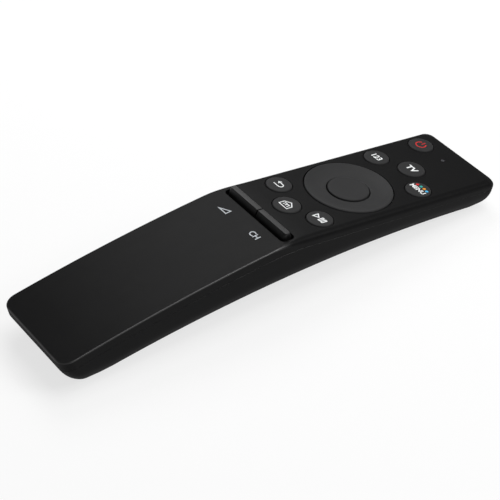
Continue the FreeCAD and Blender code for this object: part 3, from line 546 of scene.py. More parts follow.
@dataclass(frozen=True)
class CaseForm:
    """Long form of the case: outline from above, top line, rim, ends that curl under, and underside."""

    half_width: float = 17.8
    far_end: float = 50.65
    near_end: float = -117.18
    corner: float = 4.0
    near_corner: float = 4.2
    far_corner: float = 2.4
    near_reach: float = 15.3
    far_reach: float = 9.0
    near_lean: float = 1.95
    near_power: float = 2.0
    far_power: float = 2.35
    side_round: float = 6.5
    foot_round: float = 7.0
    wall: float = 1.6
    bend_start: float = -29.0
    bend_radius: float = 81.0
    bend_angle: float = math.radians(11.4)
    grip_radius: float = 629.0
    near_thickness: float = 14.5
    paddle_thickness: float = 16.6
    far_thickness: float = 11.4
    paddle_row: float = -36.25
    seam_depth: float = 3.35
    seam_gap: float = 0.12
    rim_soft: float = 2.1
    rim_crisp: float = 0.35
    rim_soften: float = 1.7
    share_rounds: int = 6
    fade: float = 34.0
    tilt: float = math.radians(7.574)

    def bend_end(self, depth: float = 0.0) -> float:
        """Where the bend meets the grip on the top line lowered by a depth."""
        return self.bend_start - (self.bend_radius - depth) * math.sin(self.bend_angle)

    def grip_centre(self) -> Vector:
        """Centre of the grip's long curve.

        Returns:
            The centre, on which the bend and the grip run on without a step.
        """
        outward = Vector((0.0, -math.sin(self.bend_angle), math.cos(self.bend_angle)))
        bend_centre = Vector((0.0, self.bend_start, -self.bend_radius))
        return bend_centre - outward * (self.grip_radius - self.bend_radius)

    def top(self, y: float, depth: float = 0.0) -> float:
        """Height of the top line, lowered square to itself by a depth.

        Args:
            y: place along the case.
            depth: how far the line is lowered.

        Returns:
            The height.
        """
        if y >= self.bend_start:
            return -depth
        if y >= self.bend_end(depth):
            centre = Vector((0.0, self.bend_start, -self.bend_radius))
            return circle_height(centre, self.bend_radius - depth, y)
        return circle_height(self.grip_centre(), self.grip_radius - depth, y)

    def arch(self) -> tuple[Vector, float]:
        """Centre and radius of the underside's arch."""
        spots = (
            (self.near_end, self.near_thickness),
            (self.paddle_row, self.paddle_thickness),
            (self.far_end, self.far_thickness),
        )
        return circle_through(*[Vector((0.0, y, self.top(y) - thick)) for y, thick in spots])

    def foot(self, near: bool) -> Vector:
        """Middle of the curve between the place where an end rests and the arch.

        Args:
            near: whether it is the near end.

        Returns:
            The middle of the curve.
        """
        y = self.near_end + self.near_reach if near else self.far_end - self.far_reach
        centre, radius = self.arch()
        return Vector((0.0, y, circle_height(centre, radius + self.foot_round, y)))

    def bottom(self, y: float) -> float:
        """Height of the underside: arch, foot curves, and the line of the table beyond them.

        Args:
            y: place along the case.

        Returns:
            The height.
        """
        centre, radius = self.arch()
        near = y < self.paddle_row
        foot = self.foot(near)
        inward = 1.0 if near else -1.0
        on_table = foot + Vector((0.0, math.sin(self.tilt), -math.cos(self.tilt))) * self.foot_round
        on_arch = foot + (centre - foot).normalized() * self.foot_round
        if (y - on_table.y) * inward < 0.0:
            return on_table.z + (y - on_table.y) * math.tan(self.tilt)
        if (y - on_arch.y) * inward < 0.0:
            return foot.z - math.sqrt(self.foot_round**2 - (y - foot.y) ** 2)
        return circle_height(centre, radius, y)

    def plan(self) -> "RoundedPlan":
        """Outline of the case from above."""
        return RoundedPlan(-self.half_width, self.half_width, self.near_end, self.far_end, self.corner)

    def end_inset(self, near: bool, share: float) -> float:
        """How far an end has curled in at a share of the case's height.

        Args:
            near: whether it is the near end.
            share: 0 on the top line, 1 on the underside.

        Returns:
            The distance.
        """
        lean = self.near_lean if near else 0.0
        power = self.near_power if near else self.far_power
        reach = (self.near_reach if near else self.far_reach) - lean
        return reach * (1.0 - max(0.0, 1.0 - share**power) ** (1.0 / power)) + lean * share

    def side_inset(self, y: float, share: float) -> float:
        """How far a side has curled in at a share of the case's height.

        Args:
            y: place along the case.
            share: 0 on the top line, 1 on the underside.

        Returns:
            The distance.
        """
        left = (self.top(y) - self.bottom(y)) * (1.0 - share)
        drop = min(max(self.side_round - left, 0.0), self.side_round)
        return self.side_round - math.sqrt(self.side_round**2 - drop**2)

    def slice(self, ref: Vector, share: float, inset: float = 0.0, soft: float = 0.0) -> Vector:
        """Place of an outline point at a share of the case's height.

        Args:
            ref: place on the outline from above.
            share: 0 on the top line, 1 on the underside.
            inset: distance inside the surface.
            soft: how much rounder the corners are.

        Returns:
            The place.
        """
        near = ref.y < 0.0
        end = self.near_end if near else self.far_end
        inward = 1.0 if near else -1.0
        flat = self.plan().outward(ref)
        full = self.near_corner if near else self.far_corner
        small = max(full * math.sqrt(max(0.0, 1.0 - share**2)) - inset + soft, 0.0)
        y = end + inward * (self.end_inset(near, share) + inset)
        if abs(flat.y) > 1e-6:
            y += inward * small * (1.0 - abs(flat.y))
        else:
            start = end + inward * self.corner
            fading = 1.0 - abs(ref.y - start) / self.fade
            y = ref.y + (y + inward * small - start) * min(max(fading, 0.0), 1.0)
        half = self.half_width - inset - self.side_inset(y, share)
        reach = self.half_width - self.corner
        x = ref.x / reach * (half - small)
        if abs(ref.x) > reach:
            x = math.copysign(half - small + small * abs(flat.x), ref.x)
        return Vector((x, y, self.top(y) * (1.0 - share) + (self.bottom(y) + inset) * share))

    def share_at(self, ref: Vector, inset: float, depth: float, soft: float = 0.0) -> float:
        """Share of the height that lies a depth below the top line.

        Args:
            ref: place on the outline from above.
            inset: distance inside the surface.
            depth: depth below the top line.
            soft: how much rounder the corners are.

        Returns:
            The share, 0 on the top line and 1 on the underside.
        """
        share = 0.0
        for _ in range(self.share_rounds):
            y = self.slice(ref, share, inset, soft).y
            share = (self.top(y) - self.top(y, depth)) / (self.top(y) - self.bottom(y) - inset)
        return share

    def at(self, ref: Vector, inset: float, depth: float, soft: float = 0.0) -> Vector:
        """Place inside the wall under an outline point, a depth below the top line."""
        return self.slice(ref, self.share_at(ref, inset, depth, soft), inset, soft)

    def rim_radius(self, y: float) -> float:
        """Rounding of the rim: soft beside the keys, crisp along the grip.

        Args:
            y: place along the case.

        Returns:
            The radius of the rounding.
        """
        share = (self.bend_start - y) / (self.bend_start - self.bend_end())
        share = min(max(share, 0.0), 1.0)
        share = share * share * (3.0 - 2.0 * share)
        return self.rim_soft + (self.rim_crisp - self.rim_soft) * share

    def rim(self, ref: Vector, share: float) -> Vector:
        """Place on the rounded rim.

        Args:
            ref: place on the outline from above.
            share: 0 at the face, 1 at the wall.

        Returns:
            The place.
        """
        small = self.rim_radius(self.slice(ref, 0.0).y)
        angle = share * math.pi / 2.0
        inset = small * (1.0 - math.sin(angle))
        return self.at(ref, inset, small * (1.0 - math.cos(angle)), self.rim_soften * inset)

    def under(self, ref: Vector, share: float, inset: float = 0.0) -> Vector:
        """Place below the seam.

        Args:
            ref: place on the outline from above.
            share: 0 just below the seam, 1 on the underside.
            inset: distance inside the surface.

        Returns:
            The place.
        """
        start = math.asin(self.share_at(ref, inset, self.seam_depth + 2.0 * self.seam_gap))
        return self.slice(ref, math.sin(start + (math.pi / 2.0 - start) * share), inset)


@dataclass(frozen=True)
class RoundedPlan:
    """Upright block's outline from above: a rectangle with round corners."""

    x0: float
    x1: float
    y0: float
    y1: float
    radius: float

    def outward(self, ref: Vector) -> Vector:
        """Way out of the outline at a place on it.

        Args:
            ref: the place.

        Returns:
            The way out, or zero for a place inside.
        """
        inner_x = min(max(ref.x, self.x0 + self.radius), self.x1 - self.radius)
        inner_y = min(max(ref.y, self.y0 + self.radius), self.y1 - self.radius)
        way = Vector((ref.x - inner_x, ref.y - inner_y, 0.0))
        return way.normalized() if way.length > 1e-6 else Vector((0.0, 0.0, 0.0))

    def set_in(self, ref: Vector, inset: float) -> Vector:
        """Place of an outline point after it is set in."""
        return Vector((ref.x, ref.y, 0.0)) - self.outward(ref) * inset

    def cap(self, stations: list[float], segments: int) -> bmesh.types.BMesh:
        """Flat cap of the outline, cut across into strips.

        Args:
            stations: places of the cuts along Y.
            segments: steps of each round corner.

        Returns:
            The cap, at height 0.
        """
        bm = bmesh.new()
        size = Vector((self.x1 - self.x0, self.y1 - self.y0, 1.0))
        middle = Vector(((self.x0 + self.x1) / 2.0, (self.y0 + self.y1) / 2.0, 0.0))
        bmesh.ops.create_cube(bm, size=1.0, matrix=Matrix.Translation(middle) @ Matrix.Diagonal((*size, 1.0)))
        upright = [edge for edge in bm.edges if abs(edge.verts[0].co.z - edge.verts[1].co.z) > 0.5]
        bevel(bm, upright, self.radius, segments)
        lower = [face for face in bm.faces if face.normal.z < 0.5]
        bmesh.ops.delete(bm, geom=lower, context="FACES")
        for y in stations:
            geometry = [*bm.verts, *bm.edges, *bm.faces]
            bmesh.ops.bisect_plane(
                bm, geom=geometry, dist=SLIVER, plane_co=(0.0, y, 0.0), plane_no=(0.0, 1.0, 0.0)
            )
        for vert in bm.verts:
            vert.co.z = 0.0
        return bm

    def loft(self, levels: list[Level], stations: list[float] = (), segments: int = 8) -> bmesh.types.BMesh:
        """Closed form whose cap, walls and floor follow the levels.

        Args:
            levels: where each outline point goes, from the upper cap to the lower one.
            stations: places along Y where the form is cut across.
            segments: steps of each round corner.

        Returns:
            The closed form.
        """
        bm = self.cap(list(stations), segments)
        ref = bm.verts.layers.float_vector.new("ref")
        for vert in bm.verts:
            vert[ref] = vert.co.copy()
        floor = bmesh.ops.duplicate(bm, geom=bm.faces[:])["geom"]
        floor_faces = [item for item in floor if isinstance(item, bmesh.types.BMFace)]
        floor_verts = [item for item in floor if isinstance(item, bmesh.types.BMVert)]
        bmesh.ops.reverse_faces(bm, faces=floor_faces)
        known = set(floor_verts)
        for vert in bm.verts:
            vert.co = levels[0](vert[ref]) if vert not in known else levels[-1](vert[ref])
        edges = [edge for edge in bm.edges if edge.is_boundary and edge.verts[0] not in known]
        for level in levels[1:]:
            made = bmesh.ops.extrude_edge_only(bm, edges=edges)["geom"]
            edges = [item for item in made if isinstance(item, bmesh.types.BMEdge)]
            edges = [edge for edge in edges if edge.is_boundary]
            for vert in {vert for edge in edges for vert in edge.verts}:
                vert.co = level(vert[ref])
        bmesh.ops.remove_doubles(bm, verts=bm.verts, dist=WELD)
        bmesh.ops.dissolve_degenerate(bm, edges=bm.edges, dist=SLIVER)
        bmesh.ops.recalc_face_normals(bm, faces=bm.faces)
        return bm


def bevel(bm: bmesh.types.BMesh, edges: list[bmesh.types.BMEdge], width: float, segments: int) -> None:
    """Round some edges by a width."""
    bmesh.ops.bevel(
        bm, geom=edges, offset=width, offset_type="OFFSET", segments=segments,
        profile=0.5, affect="EDGES", material=-1, clamp_overlap=True
    )


def block(low: Vector, high: Vector, edge: float = 0.0) -> bmesh.types.BMesh:
    """Block between two corners, with edges rounded by a width.

    Args:
        low: its lowest corner.
        high: its highest corner.
        edge: width of the rounding, or 0 for sharp edges.

    Returns:
        The block.
    """
    bm = bmesh.new()
    place = Matrix.Translation((low + high) / 2.0) @ Matrix.Diagonal((*(high - low), 1.0))
    bmesh.ops.create_cube(bm, size=1.0, matrix=place)
    if edge > 0.0:
        bevel(bm, bm.edges[:], edge, 2)
    return bm


def rod(start: Vector, end: Vector, radius: float, steps: int = 48) -> bmesh.types.BMesh:
    """Round rod between two places.

    Args:
        start: middle of one end.
        end: middle of the other end.
        radius: its radius.
        steps: steps round it.

    Returns:
        The rod.
    """
    bm = bmesh.new()
    way = end - start
    turn = way.to_track_quat("Z", "Y").to_matrix().to_4x4()
    place = Matrix.Translation((start + end) / 2.0) @ turn
    bmesh.ops.create_cone(
        bm, cap_ends=True, segments=steps, radius1=radius, radius2=radius, depth=way.length, matrix=place
    )
    return bm


def spun(outline: list[tuple[float, float]], steps: int = 128) -> bmesh.types.BMesh:
    """Form turned about the Z axis.

    Args:
        outline: radius and height of each place along the section.
        steps: steps round the axis.

    Returns:
        The closed form.
    """
    bm = bmesh.new()
    verts = [bm.verts.new((radius, 0.0, height)) for radius, height in outline]
    edges = [bm.edges.new(pair) for pair in zip(verts, verts[1:])]
    bmesh.ops.spin(
        bm, geom=[*verts, *edges], cent=(0.0, 0.0, 0.0), axis=(0.0, 0.0, 1.0),
        angle=math.tau, steps=steps, use_merge=True
    )
    bmesh.ops.remove_doubles(bm, verts=bm.verts, dist=WELD)
    bmesh.ops.recalc_face_normals(bm, faces=bm.faces)
    return bm


def edge_round(radius: float, top: float, size: float, steps: int = 6) -> list[tuple[float, float]]:
    """Quarter round at the upper outer edge of a turned form, from the top down.

    Args:
        radius: outer radius of the form.
        top: height of its top.
        size: radius of the rounding.
        steps: steps of the rounding.

    Returns:
        Radius and height of each place.
    """
    spots = []
    for number in range(steps + 1):
        angle = math.pi / 2.0 * (1.0 - number / steps)
        spots.append((radius - size + size * math.cos(angle), top - size + size * math.sin(angle)))
    return spots


def merged(*parts: bmesh.types.BMesh) -> bmesh.types.BMesh:
    """One mesh that holds several.

    Args:
        *parts: the meshes, which are used up.

    Returns:
        The mesh that holds them all.
    """
    whole = bmesh.new()
    for part in parts:
        mesh = bpy.data.meshes.new("part")
        part.to_mesh(mesh)
        part.free()
        whole.from_mesh(mesh)
        bpy.data.meshes.remove(mesh)
    return whole


def moved(bm: bmesh.types.BMesh, x: float, y: float, z: float = 0.0) -> bmesh.types.BMesh:
    """The mesh, shifted."""
    bmesh.ops.translate(bm, verts=bm.verts, vec=(x, y, z))
    return bm


def temporary(bm: bmesh.types.BMesh, name: str = "tool") -> bpy.types.Object:
    """Object that stands in the scene for a moment.

    Args:
        bm: its mesh, which is used up.
        name: its name.

    Returns:
        The object.
    """
    mesh = bpy.data.meshes.new(name)
    bm.to_mesh(mesh)
    bm.free()
    made = bpy.data.objects.new(name, mesh)
    bpy.context.scene.collection.objects.link(made)
    return made


def settled(made: bpy.types.Object) -> bmesh.types.BMesh:
    """Mesh of an object after its modifiers, with the object removed.

    Args:
        made: the object.

    Returns:
        Its finished mesh.
    """
    bpy.context.view_layer.update()
    mesh = bpy.data.meshes.new_from_object(made.evaluated_get(bpy.context.evaluated_depsgraph_get()))
    bm = bmesh.new()
    bm.from_mesh(mesh)
    old = made.data
    bpy.data.objects.remove(made)
    if isinstance(old, bpy.types.Mesh):
        bpy.data.meshes.remove(old)
    bpy.data.meshes.remove(mesh)
    return bm


def carved(
    body: bmesh.types.BMesh, tools: list[bmesh.types.BMesh], operation: str = "DIFFERENCE"
) -> bmesh.types.BMesh:
    """Body after tools are taken away from it or melted into it.

    Args:
        body: closed form.
        tools: closed forms.
        operation: DIFFERENCE, UNION or INTERSECT.

    Returns:
        The new closed form.
    """
    for tool in tools:
        made = temporary(body, "body")
        other = temporary(tool)
        modifier = made.modifiers.new("cut", "BOOLEAN")
        modifier.solver = "EXACT"
        modifier.operation = operation
        modifier.object = other
        body = settled(made)
        old = other.data
        bpy.data.objects.remove(other)
        bpy.data.meshes.remove(old)
    bmesh.ops.remove_doubles(body, verts=body.verts, dist=WELD)
    return body


def mark_edges(bm: bmesh.types.BMesh, slow: float = 0.8, quick: float = 2.4, keen: float = 5.0) -> None:
    """Mark convex edges, which handling polishes and where a paler colour also paints a highlight, on the
    layer named edge.

    Args:
        bm: the form, in millimetres.
        slow: curvature, in 1/mm, up to which nothing is marked.
        quick: curvature from which an edge is fully marked.
        keen: curvature from which it is a thin parting edge, which is left unmarked.
    """
    layer = bm.verts.layers.float.new("edge")
    bm.normal_update()
    for edge in bm.edges:
        if len(edge.link_faces) != 2:
            continue
        angle = edge.calc_face_angle_signed(0.0)
        width = sum(face.calc_area() for face in edge.link_faces) / (2.0 * max(edge.calc_length(), 1e-6))
        curvature = angle / max(width, 1e-4)
        if curvature > keen:
            continue
        share = min(max((curvature - slow) / (quick - slow), 0.0), 1.0)
        for vert in edge.verts:
            vert[layer] = max(vert[layer], share)


@dataclass
class Bench:
    """Lays finished forms on the table as pieces of the remote."""

    face: FaceFrame
    made: dict[str, bpy.types.Material] = field(default_factory=dict)

    def finish(self, finish: object) -> bpy.types.Material:
        """Material of a finish, made once."""
        if finish.name not in self.made:
            self.made[finish.name] = finish.material()
        return self.made[finish.name]

    def piece(
        self, bm: bmesh.types.BMesh, name: str, body: str, slot: Slot | None, finish: object,
        nodes: tuple[str, ...] = (), smooth: float = SHARP
    ) -> bpy.types.Object:
        """Make a piece.

        Args:
            bm: its form, in millimetres on the key face.
            name: its name.
            body: the moving body that it rides on.
            slot: the record's material slot; not used.
            finish: its finish.
            nodes: the solids that it stands for.
            smooth: angle from which an edge is drawn sharp.

        Returns:
            The piece.
        """
        mark_edges(bm)
        bmesh.ops.transform(bm, matrix=self.face.matrix, verts=bm.verts)
        for face in bm.faces:
            face.smooth = True
        mesh = bpy.data.meshes.new(name)
        bm.to_mesh(mesh)
        bm.free()
        mesh.set_sharp_from_angle(angle=smooth)
        mesh.materials.append(self.finish(finish))
        made = bpy.data.objects.new(name, mesh)
        bpy.context.scene.collection.objects.link(made)
        even = made.modifiers.new("even_shading", "WEIGHTED_NORMAL")
        even.keep_sharp = True
        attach(made, body)
        if nodes:
            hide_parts(*nodes)
        LOG.info("%s: %d faces", name, len(mesh.polygons))
        return made

    def dress(self, node: str, finish: object) -> None:
        """Give a solid of the frame its finish.

        Args:
            node: name of the solid.
            finish: its finish.
        """
        made = frame["nodes"][node]
        if not made.material_slots:
            made.data.materials.append(None)
        for slot in made.material_slots:
            slot.link = "OBJECT"
            slot.material = self.finish(finish)


@dataclass
class TopShell:
    """Upper shell with its key holes, ring hole, paddle slot and indicator hole."""

    form: CaseForm
    bench: Bench
    ring_hole: float = 15.1
    indicator_hole: float = 0.65
    indicator_row: float = 41.5
    hole_edge: float = 0.14
    slot_end: float = 15.7
    slot_near: float = -39.0
    slot_far: float = -33.95
    slot_corner: float = 1.5
    seam_edge: float = 0.05
    groove_inset: float = 0.8
    groove_depth: float = 2.05
    edge_steps: int = 8
    corner_steps: int = 14
    hole_steps: int = 96
    round_steps: int = 3
    bend_row: float = 1.0
    bend_rows: int = 16
    grip_row: float = 3.2
    grip_rows: int = 20
    slot_row: float = 0.5
    slot_rows: int = 8
    cutter_top: float = 1.0
    cutter_bottom: float = -6.0

    def skin(self) -> bmesh.types.BMesh:
        """Shell before its holes are cut.

        Returns:
            The closed shell.
        """
        form = self.form
        levels = [self._rim_level(step / self.edge_steps) for step in range(self.edge_steps + 1)]
        inner = [
            (0.0, form.seam_depth - self.seam_edge),
            (self.seam_edge * 0.3, form.seam_depth - self.seam_edge * 0.3),
            (self.seam_edge, form.seam_depth),
            (self.groove_inset, form.seam_depth),
            (self.groove_inset, self.groove_depth),
            (form.wall, self.groove_depth),
            (form.wall, form.wall),
        ]
        levels += [self._inner_level(inset, depth) for inset, depth in inner]
        stations = [form.bend_start - step * self.bend_row for step in range(self.bend_rows + 1)]
        stations += [form.bend_end() - step * self.grip_row for step in range(1, self.grip_rows + 1)]
        return form.plan().loft(levels, stations, self.corner_steps)

    def _rim_level(self, share: float) -> Level:
        """Level along the rounded rim."""
        return lambda ref: self.form.rim(ref, share)

    def _inner_level(self, inset: float, depth: float) -> Level:
        """Level inside the shell."""
        return lambda ref: self.form.at(ref, inset, depth)

    def hole(self, radius: float, x: float, y: float) -> bmesh.types.BMesh:
        """Cutter for a round hole with a tiny rounded edge.

        Args:
            radius: radius of the hole.
            x: place of its middle across.
            y: place of its middle along.

        Returns:
            The cutter.
        """
        edge = self.hole_edge
        outline = [(0.0, self.cutter_bottom), (radius, self.cutter_bottom), (radius, -edge)]
        for step in range(1, self.round_steps + 1):
            angle = math.pi / 2.0 * step / self.round_steps
            outline.append((radius + edge - edge * math.cos(angle), edge * math.sin(angle) - edge))
        outline += [(radius + edge, self.cutter_top), (0.0, self.cutter_top)]
        return moved(spun(outline, self.hole_steps), x, y)

    def slot(self) -> bmesh.types.BMesh:
        """Cutter for the slot of the paddles, with its rounded edge on the curved face.

        Returns:
            The cutter.
        """
        plan = RoundedPlan(-self.slot_end, self.slot_end, self.slot_near, self.slot_far, self.slot_corner)
        edge = self.hole_edge
        heights = [(-edge, self.cutter_top), (-edge, 0.0)]
        for step in range(self.round_steps - 1, 0, -1):
            angle = math.pi / 2.0 * step / self.round_steps
            heights.append((edge * math.cos(angle) - edge, edge * math.sin(angle) - edge))
        heights += [(0.0, -edge), (0.0, self.cutter_bottom)]
        levels = [self._slot_level(plan, inset, height) for inset, height in heights]
        rows = [self.slot_near + step * self.slot_row for step in range(1, self.slot_rows + 1)]
        return plan.loft(levels, rows)

    def _slot_level(self, plan: RoundedPlan, inset: float, height: float) -> Level:
        """Level of the slot's cutter, measured from the face."""

        def place(ref: Vector) -> Vector:
            """Place of an outline point."""
            spot = plan.set_in(ref, inset)
            return Vector((spot.x, spot.y, self.form.top(spot.y) + height))

        return place

    def build(self, holes: list[tuple[float, float, float]], window: bmesh.types.BMesh) -> bpy.types.Object:
        """Cut the shell and lay it down.

        Args:
            holes: X, Y and radius of each key hole.
            window: cutter for the infrared window.

        Returns:
            The piece.
        """
        tools = [self.hole(radius, x, y) for x, y, radius in holes]
        tools.append(self.hole(self.ring_hole, 0.0, 0.0))
        tools.append(self.hole(self.indicator_hole, 0.0, self.indicator_row))
        tools += [self.slot(), window]
        shell = carved(self.skin(), tools)
        return self.bench.piece(shell, "upper_shell", "case", Slot.CASE, CASE_FINISH, ("top_shell",))


@dataclass
class BatteryBay:
    """Space of the two cells, in its own axes: +Z into the case, +Y towards the far end."""

    form: CaseForm
    cell_radius: float = 5.25
    cell_length: float = 44.5
    spacing: float = 11.1
    clearance: float = 0.2
    half_length: float = 24.45
    end_margin: float = 17.2
    lean: float = math.radians(1.0)
    lift: float = 0.1
    wall: float = 2.0
    side_wall: float = 2.6
    roof: float = 0.6
    cover_thickness: float = 1.3
    side_ledge: float = 0.35
    end_ledge: float = 1.3
    cover_corner: float = 2.0
    gap: float = 0.15
    recess_edge: float = 0.12
    row_pitch: float = 2.0
    row_count: int = 12
    below: float = 4.0
    tray_inside: float = 0.4
    corner_steps: int = 6
    cell_steps: int = 96

    def well_radius(self) -> float:
        """Radius of the space round a cell."""
        return self.cell_radius + self.clearance

    def opening_half(self) -> float:
        """Half the width of the opening."""
        return self.spacing / 2.0 + self.well_radius()

    def cover_half_width(self) -> float:
        """Half the width of the cover's recess."""
        return self.opening_half() + self.side_ledge

    def cover_half_length(self) -> float:
        """Half the length of the cover's recess."""
        return self.half_length + self.end_ledge

    def rows(self) -> list[float]:
        """Places along the cover where it is cut across."""
        return [step * self.row_pitch for step in range(-self.row_count, self.row_count + 1)]

    def cell_height(self) -> float:
        """Height of the cells' middle line."""
        return self.cover_thickness + self.clearance + self.cell_radius

    def matrix(self) -> Matrix:
        """Place of the bay's axes on the key face.

        Returns:
            The place and turn of the axes.
        """
        centre, radius = self.form.arch()
        y = self.form.near_end + self.end_margin + self.cover_half_length()
        slope = math.asin((centre.y - y) / radius) + self.lean
        origin = Vector((0.0, y, circle_height(centre, radius, y) + self.lift))
        return Matrix.Translation(origin) @ Matrix.Rotation(slope, 4, "X")

    def onto_skin(self, spot: Vector, inside: float) -> Vector:
        """Place in the bay's axes dropped along Z onto the case's skin.

        Args:
            spot: place of which X and Y count.
            inside: distance inside the outer skin.

        Returns:
            The place, in the bay's axes.
        """
        centre, radius = self.form.arch()
        local = self.matrix().inverted() @ centre
        reach = radius + inside
        height = local.z + math.sqrt(reach**2 - (spot.y - local.y) ** 2)
        return Vector((spot.x, spot.y, height))

    def placed(self, bm: bmesh.types.BMesh) -> bmesh.types.BMesh:
        """The mesh, moved from the bay's axes to the key face."""
        bmesh.ops.transform(bm, matrix=self.matrix(), verts=bm.verts)
        return bm

    def cover_plan(self, gap: float) -> RoundedPlan:
        """Outline of the cover, set in by a gap.

        Args:
            gap: how far it is set in.

        Returns:
            The outline.
        """
        x = self.cover_half_width() - gap
        y = self.cover_half_length() - gap
        return RoundedPlan(-x, x, -y, y, self.cover_corner - gap)

    def skin_level(self, plan: RoundedPlan, inset: float, inside: float) -> Level:
        """Level that lies a distance inside the case's skin."""
        return lambda ref: self.onto_skin(plan.set_in(ref, inset), inside)

    def recess(self) -> bmesh.types.BMesh:
        """Cutter for the cover's recess, with a small rounded edge on the skin.

        Returns:
            The cutter.
        """
        plan = self.cover_plan(0.0)
        edge = self.recess_edge
        steps = [(-edge, -self.below), (-edge, 0.0), (-edge / 2, edge * 0.2), (0.0, edge)]
        steps.append((0.0, self.cover_thickness + 0.05))
        levels = [self.skin_level(plan, inset, inside) for inset, inside in steps]
        return self.placed(plan.loft(levels[::-1], self.rows(), self.corner_steps))

    def tray(self) -> bmesh.types.BMesh:
        """Walls and roof round the cells.

        Returns:
            The block that the wells are cut into.
        """
        x = self.opening_half() + self.side_wall
        y = self.half_length + self.wall
        roof = self.cell_height() + self.well_radius() + self.roof
        return self.placed(block(Vector((-x, -y, self.tray_inside)), Vector((x, y, roof))))

    def wells(self) -> list[bmesh.types.BMesh]:
        """Cutters for the space of the cells.

        Returns:
            The cutters.
        """
        half = self.half_length
        height = self.cell_height()
        tools = []
        for side in (-1.0, 1.0):
            x = side * self.spacing / 2.0
            start, end = Vector((x, -half, height)), Vector((x, half, height))
            tools.append(rod(start, end, self.well_radius(), self.cell_steps))
        x = self.opening_half()
        tools.append(block(Vector((-x, -half, -self.below)), Vector((x, half, height))))
        return [self.placed(tool) for tool in tools]


@dataclass
class BottomShell:
    """Lower shell: sides that curl under, the arched underside, and the battery bay."""

    form: CaseForm
    bay: BatteryBay
    bench: Bench
    seam_edge: float = 0.05
    lip_inset: float = 0.9
    lip_depth: float = 2.15
    curl_steps: int = 18
    inner_steps: int = 6
    corner_steps: int = 12
    under_rows: int = 44

    def skin(self) -> bmesh.types.BMesh:
        """Shell before its openings are cut.

        Returns:
            The closed shell.
        """
        form = self.form
        seam = form.seam_depth + form.seam_gap
        outer = [
            (form.wall, self.lip_depth),
            (self.lip_inset, self.lip_depth),
            (self.lip_inset, seam),
            (self.seam_edge, seam),
            (0.0, seam + self.seam_edge),
        ]
        steps = self.inner_steps
        levels = [self._floor_level(1.0 - step / steps, form.wall) for step in range(steps + 1)]
        levels += [self._top_level(inset, depth) for inset, depth in outer]
        levels += [self._floor_level(step / self.curl_steps, 0.0) for step in range(self.curl_steps + 1)]
        rows = [self._row(y) for y in self._places()]
        return form.plan().loft(levels, rows, self.corner_steps)

    def _places(self) -> list[float]:
        """Places along the underside where the form is cut across.

        Returns:
            The places.
        """
        near, far = self.form.foot(True).y, self.form.foot(False).y
        margin = 0.5
        span = far - near - 2.0 * margin
        return [near + margin + span * row / self.under_rows for row in range(self.under_rows + 1)]

    def _row(self, y: float) -> float:
        """Row of the outline from above that ends at a place along the underside.

        Args:
            y: the place along the underside.

        Returns:
            The row.
        """
        form = self.form
        near = y < form.paddle_row
        inward = 1.0 if near else -1.0
        end = form.near_end if near else form.far_end
        start = end + inward * form.corner
        amount = end + inward * form.end_inset(near, 1.0) - start
        row = start + (y - start - amount) / (1.0 - abs(amount) / form.fade)
        return row if abs(row - start) < form.fade else y

    def _floor_level(self, share: float, inset: float) -> Level:
        """Level on the lower edge."""
        return lambda ref: self.form.under(ref, share, inset)

    def _top_level(self, inset: float, depth: float) -> Level:
        """Level at the seam and its lip."""
        return lambda ref: self.form.at(ref, inset, depth)

    def build(self, window: bmesh.types.BMesh) -> bpy.types.Object:
        """Cut the shell and lay it down.

        Args:
            window: cutter for the infrared window.

        Returns:
            The piece.
        """
        shell = carved(self.skin(), [self.bay.tray()], "UNION")
        shell = carved(shell, [*self.bay.wells(), self.bay.recess(), window])
        return self.bench.piece(shell, "lower_shell", "case", Slot.CASE, CASE_FINISH, ("bottom_shell",))


